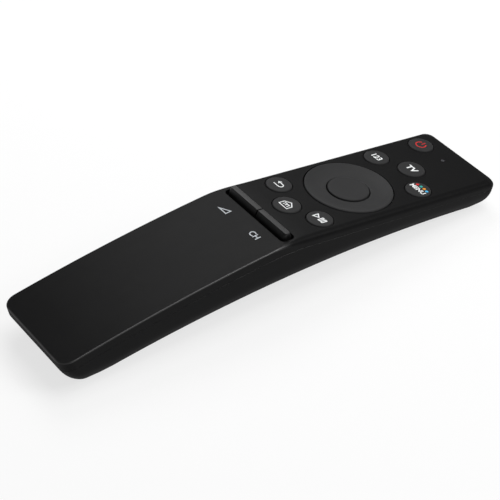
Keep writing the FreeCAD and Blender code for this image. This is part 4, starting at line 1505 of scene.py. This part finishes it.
@dataclass
class BatteryCover:
    """Cover of the bay with its latch tongue, grip grooves and two pegs."""

    bay: BatteryBay
    bench: Bench
    edge: float = 0.12
    latch_width: float = 9.0
    latch_length: float = 6.0
    slit: float = 0.7
    grooves: int = 3
    groove_pitch: float = 1.8
    groove_radius: float = 0.5
    groove_depth: float = 0.3
    peg: float = 1.6
    peg_height: float = 2.0
    peg_set_in: float = 0.1
    slit_round: float = 0.05

    def build(self) -> bpy.types.Object:
        """Make the cover and lay it down.

        Returns:
            The piece.
        """
        bay = self.bay
        plan = bay.cover_plan(bay.gap)
        thick = bay.cover_thickness
        steps = [(0.0, thick), (0.0, self.edge), (self.edge * 0.3, self.edge * 0.3), (self.edge, 0.0)]
        levels = [bay.skin_level(plan, inset, inside) for inset, inside in steps]
        cover = plan.loft(levels, bay.rows(), bay.corner_steps)
        cover = carved(cover, self.slits() + self.finger_grooves())
        cover = bay.placed(merged(cover, *self.pegs()))
        return self.bench.piece(
            cover, "battery_lid", "battery_cover", Slot.CASE, CASE_FINISH, ("battery_cover",)
        )

    def slits(self) -> list[bmesh.types.BMesh]:
        """Cutters beside the latch tongue.

        Returns:
            The cutters.
        """
        start = -self.bay.cover_half_length() - self.slit
        end = -self.bay.cover_half_length() + self.latch_length
        half = self.latch_width / 2.0
        reach = self.bay.below
        return [
            block(Vector((x, start, -reach)), Vector((x + self.slit, end, reach)), self.slit_round)
            for x in (-half - self.slit, half)
        ]

    def finger_grooves(self) -> list[bmesh.types.BMesh]:
        """Cutters for the finger grooves.

        Returns:
            The cutters.
        """
        first = -self.bay.cover_half_length() + self.latch_length + self.groove_pitch
        half = self.latch_width / 2.0 - 2.0 * self.groove_radius
        low = self.groove_radius - self.groove_depth
        tools = []
        for number in range(self.grooves):
            spot = Vector((0.0, first + number * self.groove_pitch, 0.0))
            middle = self.bay.onto_skin(spot, 0.0) - Vector((0.0, 0.0, low))
            reach = Vector((half, 0.0, 0.0))
            tools.append(rod(middle - reach, middle + reach, self.groove_radius, 32))
        return tools

    def pegs(self) -> list[bmesh.types.BMesh]:
        """Two pegs at the far end.

        Returns:
            The pegs.
        """
        bay = self.bay
        x = bay.cover_half_width() - bay.cover_corner - self.peg / 2.0
        y = bay.cover_half_length() - bay.gap - self.peg / 4.0 - self.peg_set_in
        low = bay.onto_skin(Vector((x, y, 0.0)), bay.cover_thickness / 2.0).z
        top = bay.cover_thickness + self.peg_height
        half = Vector((self.peg / 2.0, self.peg / 4.0, 0.0))
        return [
            block(Vector((side * x, y, low)) - half, Vector((side * x, y, top)) + half, self.edge)
            for side in (-1.0, 1.0)
        ]


@dataclass
class InfraredWindow:
    """Glossy pane that carries on the curve of the far end, with its flange inside."""

    form: CaseForm
    bench: Bench
    half_width: float = 10.0
    top: float = 2.6
    bottom: float = 7.4
    gap: float = 0.1
    flange: float = 0.9
    depth: float = 7.0
    beyond: float = 5.0
    columns: int = 12
    rows: int = 14
    edge: float = 0.12

    def cutter(self) -> bmesh.types.BMesh:
        """Space of the window through the wall.

        Returns:
            The cutter.
        """
        low = Vector((-self.half_width, self.form.far_end - self.depth, -self.bottom))
        high = Vector((self.half_width, self.form.far_end + self.beyond, -self.top))
        return block(low, high)

    def sheet(self, margin: float, inset: float, thickness: float) -> bmesh.types.BMesh:
        """Sheet that follows the far end.

        Args:
            margin: how far it reaches beyond the opening, or stays inside it.
            inset: distance of its outer side inside the case's surface.
            thickness: its thickness.

        Returns:
            The sheet with softened edges.
        """
        bm = bmesh.new()
        bmesh.ops.create_grid(bm, x_segments=self.columns, y_segments=self.rows, size=0.5)
        first, last = self.top - margin, self.bottom + margin
        ref = Vector((0.0, self.form.far_end, 0.0))
        for vert in bm.verts:
            depth = first + (last - first) * (0.5 - vert.co.y)
            spot = self.form.at(ref, inset, depth)
            vert.co = Vector((vert.co.x * 2.0 * (self.half_width + margin), spot.y, spot.z))
        bmesh.ops.recalc_face_normals(bm, faces=bm.faces)
        if sum(face.normal.y for face in bm.faces) < 0.0:
            bmesh.ops.reverse_faces(bm, faces=bm.faces)
        pane = temporary(bm, "pane")
        thick = pane.modifiers.new("thickness", "SOLIDIFY")
        thick.thickness = thickness
        thick.offset = -1.0
        soft = pane.modifiers.new("edges", "BEVEL")
        soft.width = self.edge
        soft.segments = 3
        soft.limit_method = "ANGLE"
        return settled(pane)

    def build(self) -> bpy.types.Object:
        """Make the pane with its flange inside and lay it down.

        Returns:
            The piece.
        """
        pane = self.sheet(-self.gap, 0.0, self.form.wall)
        flange = self.sheet(self.flange, self.form.wall + self.gap, self.flange)
        whole = merged(pane, flange)
        return self.bench.piece(
            whole, "infrared_pane", "case", Slot.WINDOW, WINDOW_FINISH, ("infrared_window",)
        )


@dataclass
class DirectionCluster:
    """Dished direction ring with the select key in its middle."""

    bench: Bench
    rim: float = 14.8
    inner: float = 7.3
    proud: float = 0.25
    dish: float = 1.0
    dish_power: float = 2.1
    dish_steps: int = 24
    edge: float = 0.45
    bottom: float = -3.0
    lip_edge: float = 0.3
    lip_bend: float = 0.09
    lug_top: float = -2.35
    lug_reach: float = 15.5
    lug_width: float = 5.0
    lug_root: float = 1.0
    lug_round: float = 0.1
    ring_steps: int = 160
    select_radius: float = 7.0
    select_top: float = -0.35
    select_edge: float = 0.4
    select_hollow: float = 0.18
    hollow_steps: int = 8
    flange: float = 7.9
    flange_top: float = -3.45
    select_bottom: float = -4.1

    def ring(self) -> bpy.types.Object:
        """Make the ring: a smooth hollow from its raised rim down to the middle key.

        Returns:
            The piece.
        """
        crest = self.rim - self.edge
        lip = self.inner + self.lip_edge
        middle = self.proud - self.dish
        outline = [(self.inner, self.bottom), (self.inner, middle - self.lip_edge)]
        outline += [(self.inner + self.lip_bend, middle - self.lip_bend), (lip, middle)]
        for step in range(1, self.dish_steps + 1):
            share = step / self.dish_steps
            outline.append((lip + (crest - lip) * share, middle + self.dish * share**self.dish_power))
        outline += edge_round(self.rim, self.proud, self.edge)[1:]
        outline += [(self.rim, self.bottom + self.lug_round), (self.rim - self.lug_round, self.bottom)]
        outline.append((self.inner, self.bottom))
        parts = [spun(outline, self.ring_steps)]
        for turn in range(4):
            half = self.lug_width / 2.0
            low = Vector((self.rim - self.lug_root, -half, self.bottom))
            lug = block(low, Vector((self.lug_reach, half, self.lug_top)), self.lug_round)
            bmesh.ops.rotate(lug, verts=lug.verts, matrix=Matrix.Rotation(math.pi / 2.0 * turn, 3, "Z"))
            parts.append(lug)
        nodes = ("direction_ring",)
        return self.bench.piece(
            merged(*parts), "direction_ring_key", "direction_ring", Slot.RING, RING_FINISH, nodes
        )

    def select(self) -> bpy.types.Object:
        """Make the middle key, faintly hollow for the thumb.

        Returns:
            The piece.
        """
        outline = []
        flat = self.select_radius - self.select_edge
        for step in range(self.hollow_steps + 1):
            share = step / self.hollow_steps
            outline.append((flat * share, self.select_top - self.select_hollow * (1.0 - share**2)))
        outline += edge_round(self.select_radius, self.select_top, self.select_edge)[1:]
        outline += [
            (self.select_radius, self.flange_top),
            (self.flange, self.flange_top),
            (self.flange, self.select_bottom),
            (0.0, self.select_bottom),
        ]
        return self.bench.piece(
            spun(outline), "select_key", "select_button", Slot.KEY, KEY_FINISH, ("select_button",)
        )


class KeyPlace(Enum):
    """Round keys by node, with X, Y and the radius of their holes."""

    POWER = ("power_button", -10.8, 40.9, 4.6)
    NUMBER = ("number_button", -10.8, 20.85, 4.6)
    UPPER = ("upper_button", 0.0, 27.2, 4.9)
    COLOUR = ("colour_button", 10.8, 20.85, 4.6)
    RETURN = ("return_button", -10.8, -20.65, 4.6)
    HOME = ("home_button", 0.0, -25.6, 4.9)
    PLAY = ("play_button", 10.8, -20.65, 4.6)

    @property
    def node(self) -> str:
        """Name of the solid and of the moving body."""
        return self.value[0]

    @property
    def spot(self) -> tuple[float, float, float]:
        """X, Y and hole radius."""
        return self.value[1:]


@dataclass
class RoundKeys:
    """The seven round keys."""

    bench: Bench
    clearance: float = 0.2
    proud: float = 0.3
    edge: float = 0.5
    flange_top: float = -1.65
    flange_bottom: float = -2.45
    ear_reach: float = 0.8
    ear_width: float = 3.0
    ear_root: float = 0.5
    ear_round: float = 0.08
    foot_round: float = 0.1
    round_steps: int = 8
    key_steps: int = 96

    def build(self) -> None:
        """Make every round key."""
        for key in KeyPlace:
            x, y, hole = key.spot
            bm = moved(self.cap(hole), x, y)
            self.bench.piece(bm, key.node + "_cap", key.node, Slot.KEY, KEY_FINISH, (key.node,))

    def cap(self, hole: float) -> bmesh.types.BMesh:
        """Key with a soft round edge and two ears that stay below the face.

        Args:
            hole: radius of its hole.

        Returns:
            The key about the origin.
        """
        outer = hole - self.clearance
        flat = outer - self.edge
        outline = [(0.0, self.proud), (flat * 0.8, self.proud)]
        outline += edge_round(outer, self.proud, self.edge, self.round_steps)
        bottom = self.flange_bottom
        outline += [(outer, bottom + self.foot_round), (outer - self.foot_round, bottom), (0.0, bottom)]
        half = self.ear_width / 2.0
        ears = []
        for side in (-1.0, 1.0):
            ends = sorted((side * (outer - self.ear_root), side * (hole + self.ear_reach)))
            low = Vector((-half, ends[0], bottom))
            high = Vector((half, ends[1], self.flange_top))
            ears.append(block(low, high, self.ear_round))
        return merged(spun(outline, self.key_steps), *ears)


@dataclass
class RockerPaddles:
    """Volume and channel paddles that stand in a ridge across the case."""

    form: CaseForm
    bench: Bench
    inner: float = 0.25
    outer: float = 14.8
    height: float = 1.75
    near_base: float = 1.75
    near_top: float = 1.2
    far_top: float = 0.75
    far_base: float = 1.75
    skirt: float = 1.3
    crest: float = 0.33
    end_round: float = 1.1
    inner_round: float = 0.1
    pivot_depth: float = 3.0
    hub: float = 1.15
    web: float = 1.4
    ear: float = 1.25
    foot_reach: float = 4.3
    foot_drop: float = 0.15
    foot_thickness: float = 0.65

    def blade(self) -> bmesh.types.BMesh:
        """Blade of the right-hand paddle, leaning back from the near side.

        Returns:
            The blade.
        """
        y = self.form.paddle_row
        face = self.form.top(y)
        outline = [
            (y - self.near_base, face - self.skirt),
            (y - self.near_base, face),
            (y - self.near_top, face + self.height),
            (y + self.far_top, face + self.height),
            (y + self.far_base, face),
            (y + self.far_base, face - self.skirt),
        ]
        bm = bmesh.new()
        verts = [bm.verts.new((self.inner, *spot)) for spot in outline]
        end = bm.faces.new(verts)
        made = bmesh.ops.extrude_face_region(bm, geom=[end])["geom"]
        far = [item for item in made if isinstance(item, bmesh.types.BMVert)]
        bmesh.ops.translate(bm, verts=far, vec=(self.outer - self.inner, 0.0, 0.0))
        bmesh.ops.recalc_face_normals(bm, faces=bm.faces)
        self._soften(bm, face)
        return bm

    def _soften(self, bm: bmesh.types.BMesh, face: float) -> None:
        """Round the outer end, the crest and the inner end of the blade.

        Args:
            bm: the blade.
            face: height of the face under it.
        """
        near, least = 1e-3, 0.5
        upright = [
            edge for edge in bm.edges
            if all(vert.co.x > self.outer - near for vert in edge.verts)
            and abs(edge.verts[0].co.z - edge.verts[1].co.z) > near
        ]
        bevel(bm, upright, self.end_round, 6)
        top = face + self.height - near
        crest = [edge for edge in bm.edges if all(vert.co.z > top for vert in edge.verts)]
        bevel(bm, crest, self.crest, 4)
        inner = [
            edge for edge in bm.edges
            if all(vert.co.x < self.inner + WELD for vert in edge.verts) and edge.calc_length() > least
        ]
        bevel(bm, inner, self.inner_round, 2)

    def lower_parts(self) -> list[bmesh.types.BMesh]:
        """Web, hub and foot below the face.

        Returns:
            The three parts.
        """
        y = self.form.paddle_row
        pivot = self.form.top(y) - self.pivot_depth
        start, end = self.inner + self.ear, self.outer - self.ear
        half = self.web / 2.0
        web_top = pivot + self.pivot_depth - self.skirt / 2.0
        foot_top = pivot - self.foot_drop
        web = block(Vector((start, y - half, pivot)), Vector((end, y + half, web_top)), 0.05)
        foot = block(
            Vector((start, y - self.foot_reach, foot_top - self.foot_thickness)),
            Vector((end, y + self.foot_reach, foot_top)), 0.08
        )
        return [web, foot, rod(Vector((start, y, pivot)), Vector((end, y, pivot)), self.hub)]

    def build(self) -> None:
        """Make both paddles."""
        for side, name in ((1.0, "channel"), (-1.0, "volume")):
            bm = merged(self.blade(), *self.lower_parts())
            if side < 0.0:
                bmesh.ops.scale(bm, verts=bm.verts, vec=(-1.0, 1.0, 1.0))
                bmesh.ops.reverse_faces(bm, faces=bm.faces)
            body = name + "_paddle"
            self.bench.piece(bm, name + "_rocker", body, Slot.PADDLE, PADDLE_FINISH, (body,))


@dataclass
class Signs:
    """Printed signs on the keys and below the paddles."""

    form: CaseForm
    bench: Bench
    lift: float = 0.012
    thickness: float = 0.012
    stroke: float = 0.42
    capital_share: float = 0.72

    def words(self, text: str, size: float, weight: float = 0.0) -> bmesh.types.BMesh:
        """Flat lettering about the origin.

        Args:
            text: the words.
            size: height of the capitals, in millimetres.
            weight: how far the strokes are thickened.

        Returns:
            Thin lettering that faces up.
        """
        curve = bpy.data.curves.new("lettering", "FONT")
        curve.body = text
        curve.size = size / self.capital_share
        curve.align_x = "CENTER"
        curve.align_y = "CENTER"
        curve.offset = weight
        curve.extrude = self.thickness / 2.0
        made = bpy.data.objects.new("lettering", curve)
        bpy.context.scene.collection.objects.link(made)
        bm = settled(made)
        bpy.data.curves.remove(curve)
        return bm

    def strokes(self, paths: list[list[tuple[float, float]]], width: float) -> bmesh.types.BMesh:
        """Flat strokes of one width along some paths.

        Args:
            paths: X and Y of the places along each stroke; a closed one ends where it starts.
            width: width of the strokes.

        Returns:
            Thin strokes that face up.
        """
        bm = bmesh.new()
        for path in paths:
            closed = path[0] == path[-1]
            spots = path[:-1] if closed else path
            verts = [bm.verts.new((x, y, -self.thickness / 2.0)) for x, y in spots]
            pairs = list(zip(verts, verts[1:]))
            if closed:
                pairs.append((verts[-1], verts[0]))
            for pair in pairs:
                bm.edges.new(pair)
        made = bmesh.ops.extrude_edge_only(bm, edges=bm.edges[:])["geom"]
        upper = [item for item in made if isinstance(item, bmesh.types.BMVert)]
        bmesh.ops.translate(bm, verts=upper, vec=(0.0, 0.0, self.thickness))
        wall = temporary(bm, "strokes")
        thick = wall.modifiers.new("width", "SOLIDIFY")
        thick.thickness = width
        thick.offset = 0.0
        thick.use_even_offset = True
        return settled(wall)

    def dot(self, radius: float) -> bmesh.types.BMesh:
        """Flat round dot about the origin."""
        half = Vector((0.0, 0.0, self.thickness / 2.0))
        return rod(-half, half, radius, 32)

    def arc(self, radius: float, start: float, end: float, steps: int = 24) -> list[tuple[float, float]]:
        """Places along an arc about the origin, with its angles in degrees."""
        angles = [math.radians(start + (end - start) * step / steps) for step in range(steps + 1)]
        return [(radius * math.cos(angle), radius * math.sin(angle)) for angle in angles]

    def on_key(
        self, bm: bmesh.types.BMesh, key: KeyPlace, name: str, ink: PrintedInk, top: float = 0.3
    ) -> None:
        """Print something on a round key.

        Args:
            bm: the sign about the origin.
            key: the key.
            name: name of the piece.
            ink: its ink.
            top: height of the key's top.
        """
        x, y, _ = key.spot
        moved(bm, x, y, top + self.lift)
        self.bench.piece(bm, name, key.node, None, ink)

    def on_grip(self, bm: bmesh.types.BMesh, x: float, y: float, name: str, ink: PrintedInk) -> None:
        """Print something on the curved face.

        Args:
            bm: the sign about the origin.
            x: its place across.
            y: its place along.
            name: name of the piece.
            ink: its ink.
        """
        moved(bm, x, y)
        for vert in bm.verts:
            vert.co.z += self.form.top(vert.co.y) + self.lift
        self.bench.piece(bm, name, "case", None, ink)

    def build(self) -> None:
        """Print every sign."""
        self.power()
        self.on_key(self.words("123", 2.2, 0.07), KeyPlace.NUMBER, "number_sign", WHITE_INK)
        self.on_key(self.words("TV", 2.5, 0.11), KeyPlace.UPPER, "screen_sign", WHITE_INK)
        self.colours()
        self.back_arrow()
        self.house()
        self.play_pause()
        self.volume()
        self.on_grip(self.words("CH", 2.15, 0.04), 7.8, -44.05, "channel_sign", SILVER_INK)

    def power(self) -> None:
        """Red open circle with a bar."""
        paths = [self.arc(1.75, 125.0, 415.0), [(0.0, 0.35), (0.0, 2.05)]]
        self.on_key(self.strokes(paths, self.stroke), KeyPlace.POWER, "power_sign", RED_INK)

    def colours(self) -> None:
        """Four dots in a row over a small word."""
        inks = (RED_INK, TEAL_INK, ORANGE_INK, BLUE_INK)
        names = ("red_dot", "teal_dot", "orange_dot", "blue_dot")
        for number, (ink, name) in enumerate(zip(inks, names)):
            dot = moved(self.dot(0.56), -2.3 + 1.55 * number, 2.0 - 0.12 * (number - 1.5) ** 2)
            self.on_key(dot, KeyPlace.COLOUR, name, ink)
        word = moved(self.words("MENU", 1.75, 0.06), -0.1, -0.15)
        self.on_key(word, KeyPlace.COLOUR, "menu_sign", WHITE_INK)

    def back_arrow(self) -> None:
        """Arrow that turns back to the left."""
        bend = [(0.85 + x, y) for x, y in self.arc(0.95, 90.0, -90.0, 16)]
        shaft = [(-1.1, 0.95), *bend, (-1.5, -0.95)]
        head = [(-0.45, 1.6), (-1.25, 0.95), (-0.45, 0.3)]
        signs = self.strokes([shaft, head], 0.36)
        self.on_key(signs, KeyPlace.RETURN, "return_sign", WHITE_INK)

    def house(self) -> None:
        """House with three short bars inside, joined by a beam."""
        walls = [(0.0, 1.9), (1.95, 0.5), (1.95, -1.65), (-1.95, -1.65), (-1.95, 0.5), (0.0, 1.9)]
        beam = [(-0.95, -0.85), (-0.95, 0.3), (0.95, 0.3), (0.95, -0.85)]
        bar = [(0.0, 0.3), (0.0, -0.85)]
        self.on_key(self.strokes([walls, beam, bar], 0.34), KeyPlace.HOME, "home_sign", WHITE_INK)

    def play_pause(self) -> None:
        """Play triangle with two pause bars."""
        play = [(-2.2, 1.05), (-2.2, -1.05), (-0.5, 0.0), (-2.2, 1.05)]
        bars = []
        for x in (0.35, 1.65):
            bars.append([(x, 1.0), (x + 0.65, 1.0), (x + 0.65, -1.0), (x, -1.0), (x, 1.0)])
        self.on_key(self.strokes([play, *bars], 0.38), KeyPlace.PLAY, "play_sign", WHITE_INK)

    def volume(self) -> None:
        """Outline of a rising wedge."""
        wedge = [(-1.8, -0.95), (1.8, 1.0), (1.8, -0.95), (-1.8, -0.95)]
        self.on_grip(self.strokes([wedge], 0.36), -7.9, -44.0, "volume_sign", SILVER_INK)


@dataclass
class Inside:
    """What lies inside the case, most of it solids of the frame with their finishes."""

    bay: BatteryBay
    bench: Bench
    contact_gap: float = 0.1
    contact_plate: float = 0.4
    nub_height: float = 1.0

    def build(self) -> None:
        """Dress the inner solids and make the cells."""
        finishes = {
            "ring_rocker_plate": HIDDEN_FINISH,
            "volume_cradle": HIDDEN_FINISH,
            "channel_cradle": HIDDEN_FINISH,
            "volume_pin": STEEL_FINISH,
            "channel_pin": STEEL_FINISH,
            "rubber_keypad": RUBBER_FINISH,
            "circuit_board": BOARD_FINISH,
            "control_chip": CHIP_FINISH,
            "capacitor": SLEEVE_FINISH,
            "crystal": STEEL_FINISH,
            "infrared_emitters": RESIN_FINISH,
            "indicator_lens": SMOKE_FINISH,
            "indicator_lamp": RESIN_FINISH,
            "battery_contacts": STEEL_FINISH,
            "contact_springs": STEEL_FINISH,
        }
        for node, finish in finishes.items():
            self.bench.dress(node, finish)
        self.cells()

    def cells(self) -> None:
        """Two plain cells: a sleeve that rolls over the can's edges, and a bright nub."""
        sleeves = []
        metal = []
        for side in (-1.0, 1.0):
            turn = Matrix.Rotation(-math.pi / 2.0 if side < 0 else math.pi / 2.0, 4, "X")
            place = Matrix.Translation((side * self.bay.spacing / 2.0, 0.0, self.bay.cell_height())) @ turn
            for bm, group in ((self.sleeve(), sleeves), (self.nub(), metal)):
                bmesh.ops.transform(bm, matrix=place, verts=bm.verts)
                group.append(self.bay.placed(bm))
        self.bench.piece(merged(*sleeves), "cell_sleeves", "case", Slot.SLEEVE, SLEEVE_FINISH, ("batteries",))
        self.bench.piece(merged(*metal), "cell_ends", "case", Slot.STEEL, STEEL_FINISH)

    def ends(self) -> tuple[float, float, float]:
        """Flat end, shoulder and tip of a cell along its own line."""
        tip = self.bay.half_length - self.contact_gap - self.contact_plate
        return tip - self.bay.cell_length, tip - self.nub_height, tip

    def sleeve(self) -> bmesh.types.BMesh:
        """Printed sleeve of a cell.

        Returns:
            The sleeve about the cell's own line.
        """
        base, shoulder, _ = self.ends()
        radius = self.bay.cell_radius
        outline = [(radius - 0.9, base + 0.1), (radius - 0.35, base), (radius, base + 0.35)]
        outline += [(radius, shoulder - 0.4), (radius - 0.35, shoulder), (radius - 1.1, shoulder - 0.08)]
        outline += [(radius - 1.1, base + 0.4), (radius - 0.9, base + 0.1)]
        return spun(outline, 96)

    def nub(self) -> bmesh.types.BMesh:
        """Bright can ends of a cell.

        Returns:
            The ends about the cell's own line.
        """
        base, shoulder, tip = self.ends()
        outline = [(0.0, base + 0.1), (3.4, base + 0.1), (3.7, base + 0.25), (4.6, base + 0.25)]
        outline += [(4.6, shoulder - 0.25), (3.1, shoulder - 0.25), (2.75, shoulder - 0.05)]
        outline += [(2.7, tip - 0.15), (2.55, tip), (0.0, tip)]
        return spun(outline, 64)


@dataclass(frozen=True)
class Lamp:
    """Square soft lamp: place and side in metres, power in watts."""

    name: str
    place: tuple[float, float, float]
    side: float
    power: float


LAMPS = (
    Lamp("lamp_above", (0.02, 0.30, 1.05), side=0.7, power=6.0),
    Lamp("lamp_left", (-0.30, 0.17, 0.35), side=0.27, power=0.95),
    Lamp("lamp_right", (0.50, 0.46, 0.58), side=0.35, power=2.6),
)


@dataclass
class Studio:
    """Pale table, soft lamps and the camera, whose place and axes are given on the key face."""

    face: FaceFrame
    lens: float = 122.77
    camera_place: Vector = field(default_factory=lambda: Vector((335.62, -336.24, 288.22)))
    right: Vector = field(default_factory=lambda: Vector((0.58537, 0.79878, 0.13887)))
    down: Vector = field(default_factory=lambda: Vector((0.52228, -0.24050, -0.81816)))
    forward: Vector = field(default_factory=lambda: Vector((-0.62013, 0.55145, -0.55797)))
    table_half: float = 30.0
    film_width: float = 36.0
    nearest: float = 0.01
    farthest: float = 20.0
    table_gap: float = 0.0002
    sky: float = 0.2

    def build(self, bench: Bench) -> None:
        """Set up the table, the light and the camera.

        Args:
            bench: where the finishes are made.
        """
        self.table(bench)
        self.light()
        self.camera()

    def table(self, bench: Bench) -> None:
        """Large pale table.

        Args:
            bench: where the finishes are made.
        """
        bm = bmesh.new()
        bmesh.ops.create_grid(bm, x_segments=4, y_segments=4, size=self.table_half)
        mesh = bpy.data.meshes.new("table_top")
        bm.to_mesh(mesh)
        bm.free()
        mesh.materials.append(bench.finish(TableTop("table_white", (0.9, 0.9, 0.9))))
        made = bpy.data.objects.new("table_top", mesh)
        made.location.z = -self.table_gap
        bpy.context.scene.collection.objects.link(made)

    def light(self) -> None:
        """Faint even light from all round with three soft lamps."""
        world = bpy.data.worlds.new("studio")
        bpy.context.scene.world = world
        world.use_nodes = True
        background = world.node_tree.nodes["Background"]
        background.inputs["Color"].default_value = (1.0, 1.0, 1.0, 1.0)
        background.inputs["Strength"].default_value = self.sky
        for lamp in LAMPS:
            self.lamp(lamp)

    def lamp(self, lamp: Lamp) -> None:
        """Hang a lamp that shines on the remote.

        Args:
            lamp: the lamp.
        """
        data = bpy.data.lights.new(lamp.name, "AREA")
        data.shape = "SQUARE"
        data.size = lamp.side
        data.energy = lamp.power
        place = Vector(lamp.place)
        made = bpy.data.objects.new(lamp.name, data)
        made.location = place
        made.rotation_euler = (-place).to_track_quat("-Z", "Y").to_euler()
        bpy.context.scene.collection.objects.link(made)

    def camera(self) -> None:
        """Camera at the photographed angle."""
        data = bpy.data.cameras.new("camera")
        data.lens = self.lens
        data.sensor_width = self.film_width
        data.clip_start = self.nearest
        data.clip_end = self.farthest
        made = bpy.data.objects.new("camera", data)
        turn = self.face.matrix.to_3x3().normalized()
        axes = Matrix((turn @ self.right, turn @ -self.down, turn @ -self.forward)).transposed()
        made.matrix_world = Matrix.Translation(self.face.matrix @ self.camera_place) @ axes.to_4x4()
        bpy.context.scene.collection.objects.link(made)
        bpy.context.scene.camera = made


def main() -> None:
    """Build every sub-assembly of the remote in order, then the studio."""
    logging.basicConfig(level=logging.INFO, format="%(name)s: %(message)s")
    bpy.context.scene.view_settings.view_transform = "Standard"
    face = FaceFrame.from_joints(frame["joints"])
    form = CaseForm(tilt=face.tilt())
    bench = Bench(face)
    bay = BatteryBay(form)
    window = InfraredWindow(form, bench)
    TopShell(form, bench).build([key.spot for key in KeyPlace], window.cutter())
    BottomShell(form, bay, bench).build(window.cutter())
    BatteryCover(bay, bench).build()
    window.build()
    cluster = DirectionCluster(bench)
    cluster.ring()
    cluster.select()
    RoundKeys(bench).build()
    RockerPaddles(form, bench).build()
    Signs(form, bench).build()
    Inside(bay, bench).build()
    Studio(face).build(bench)


if __name__ == "__main__":
    main()
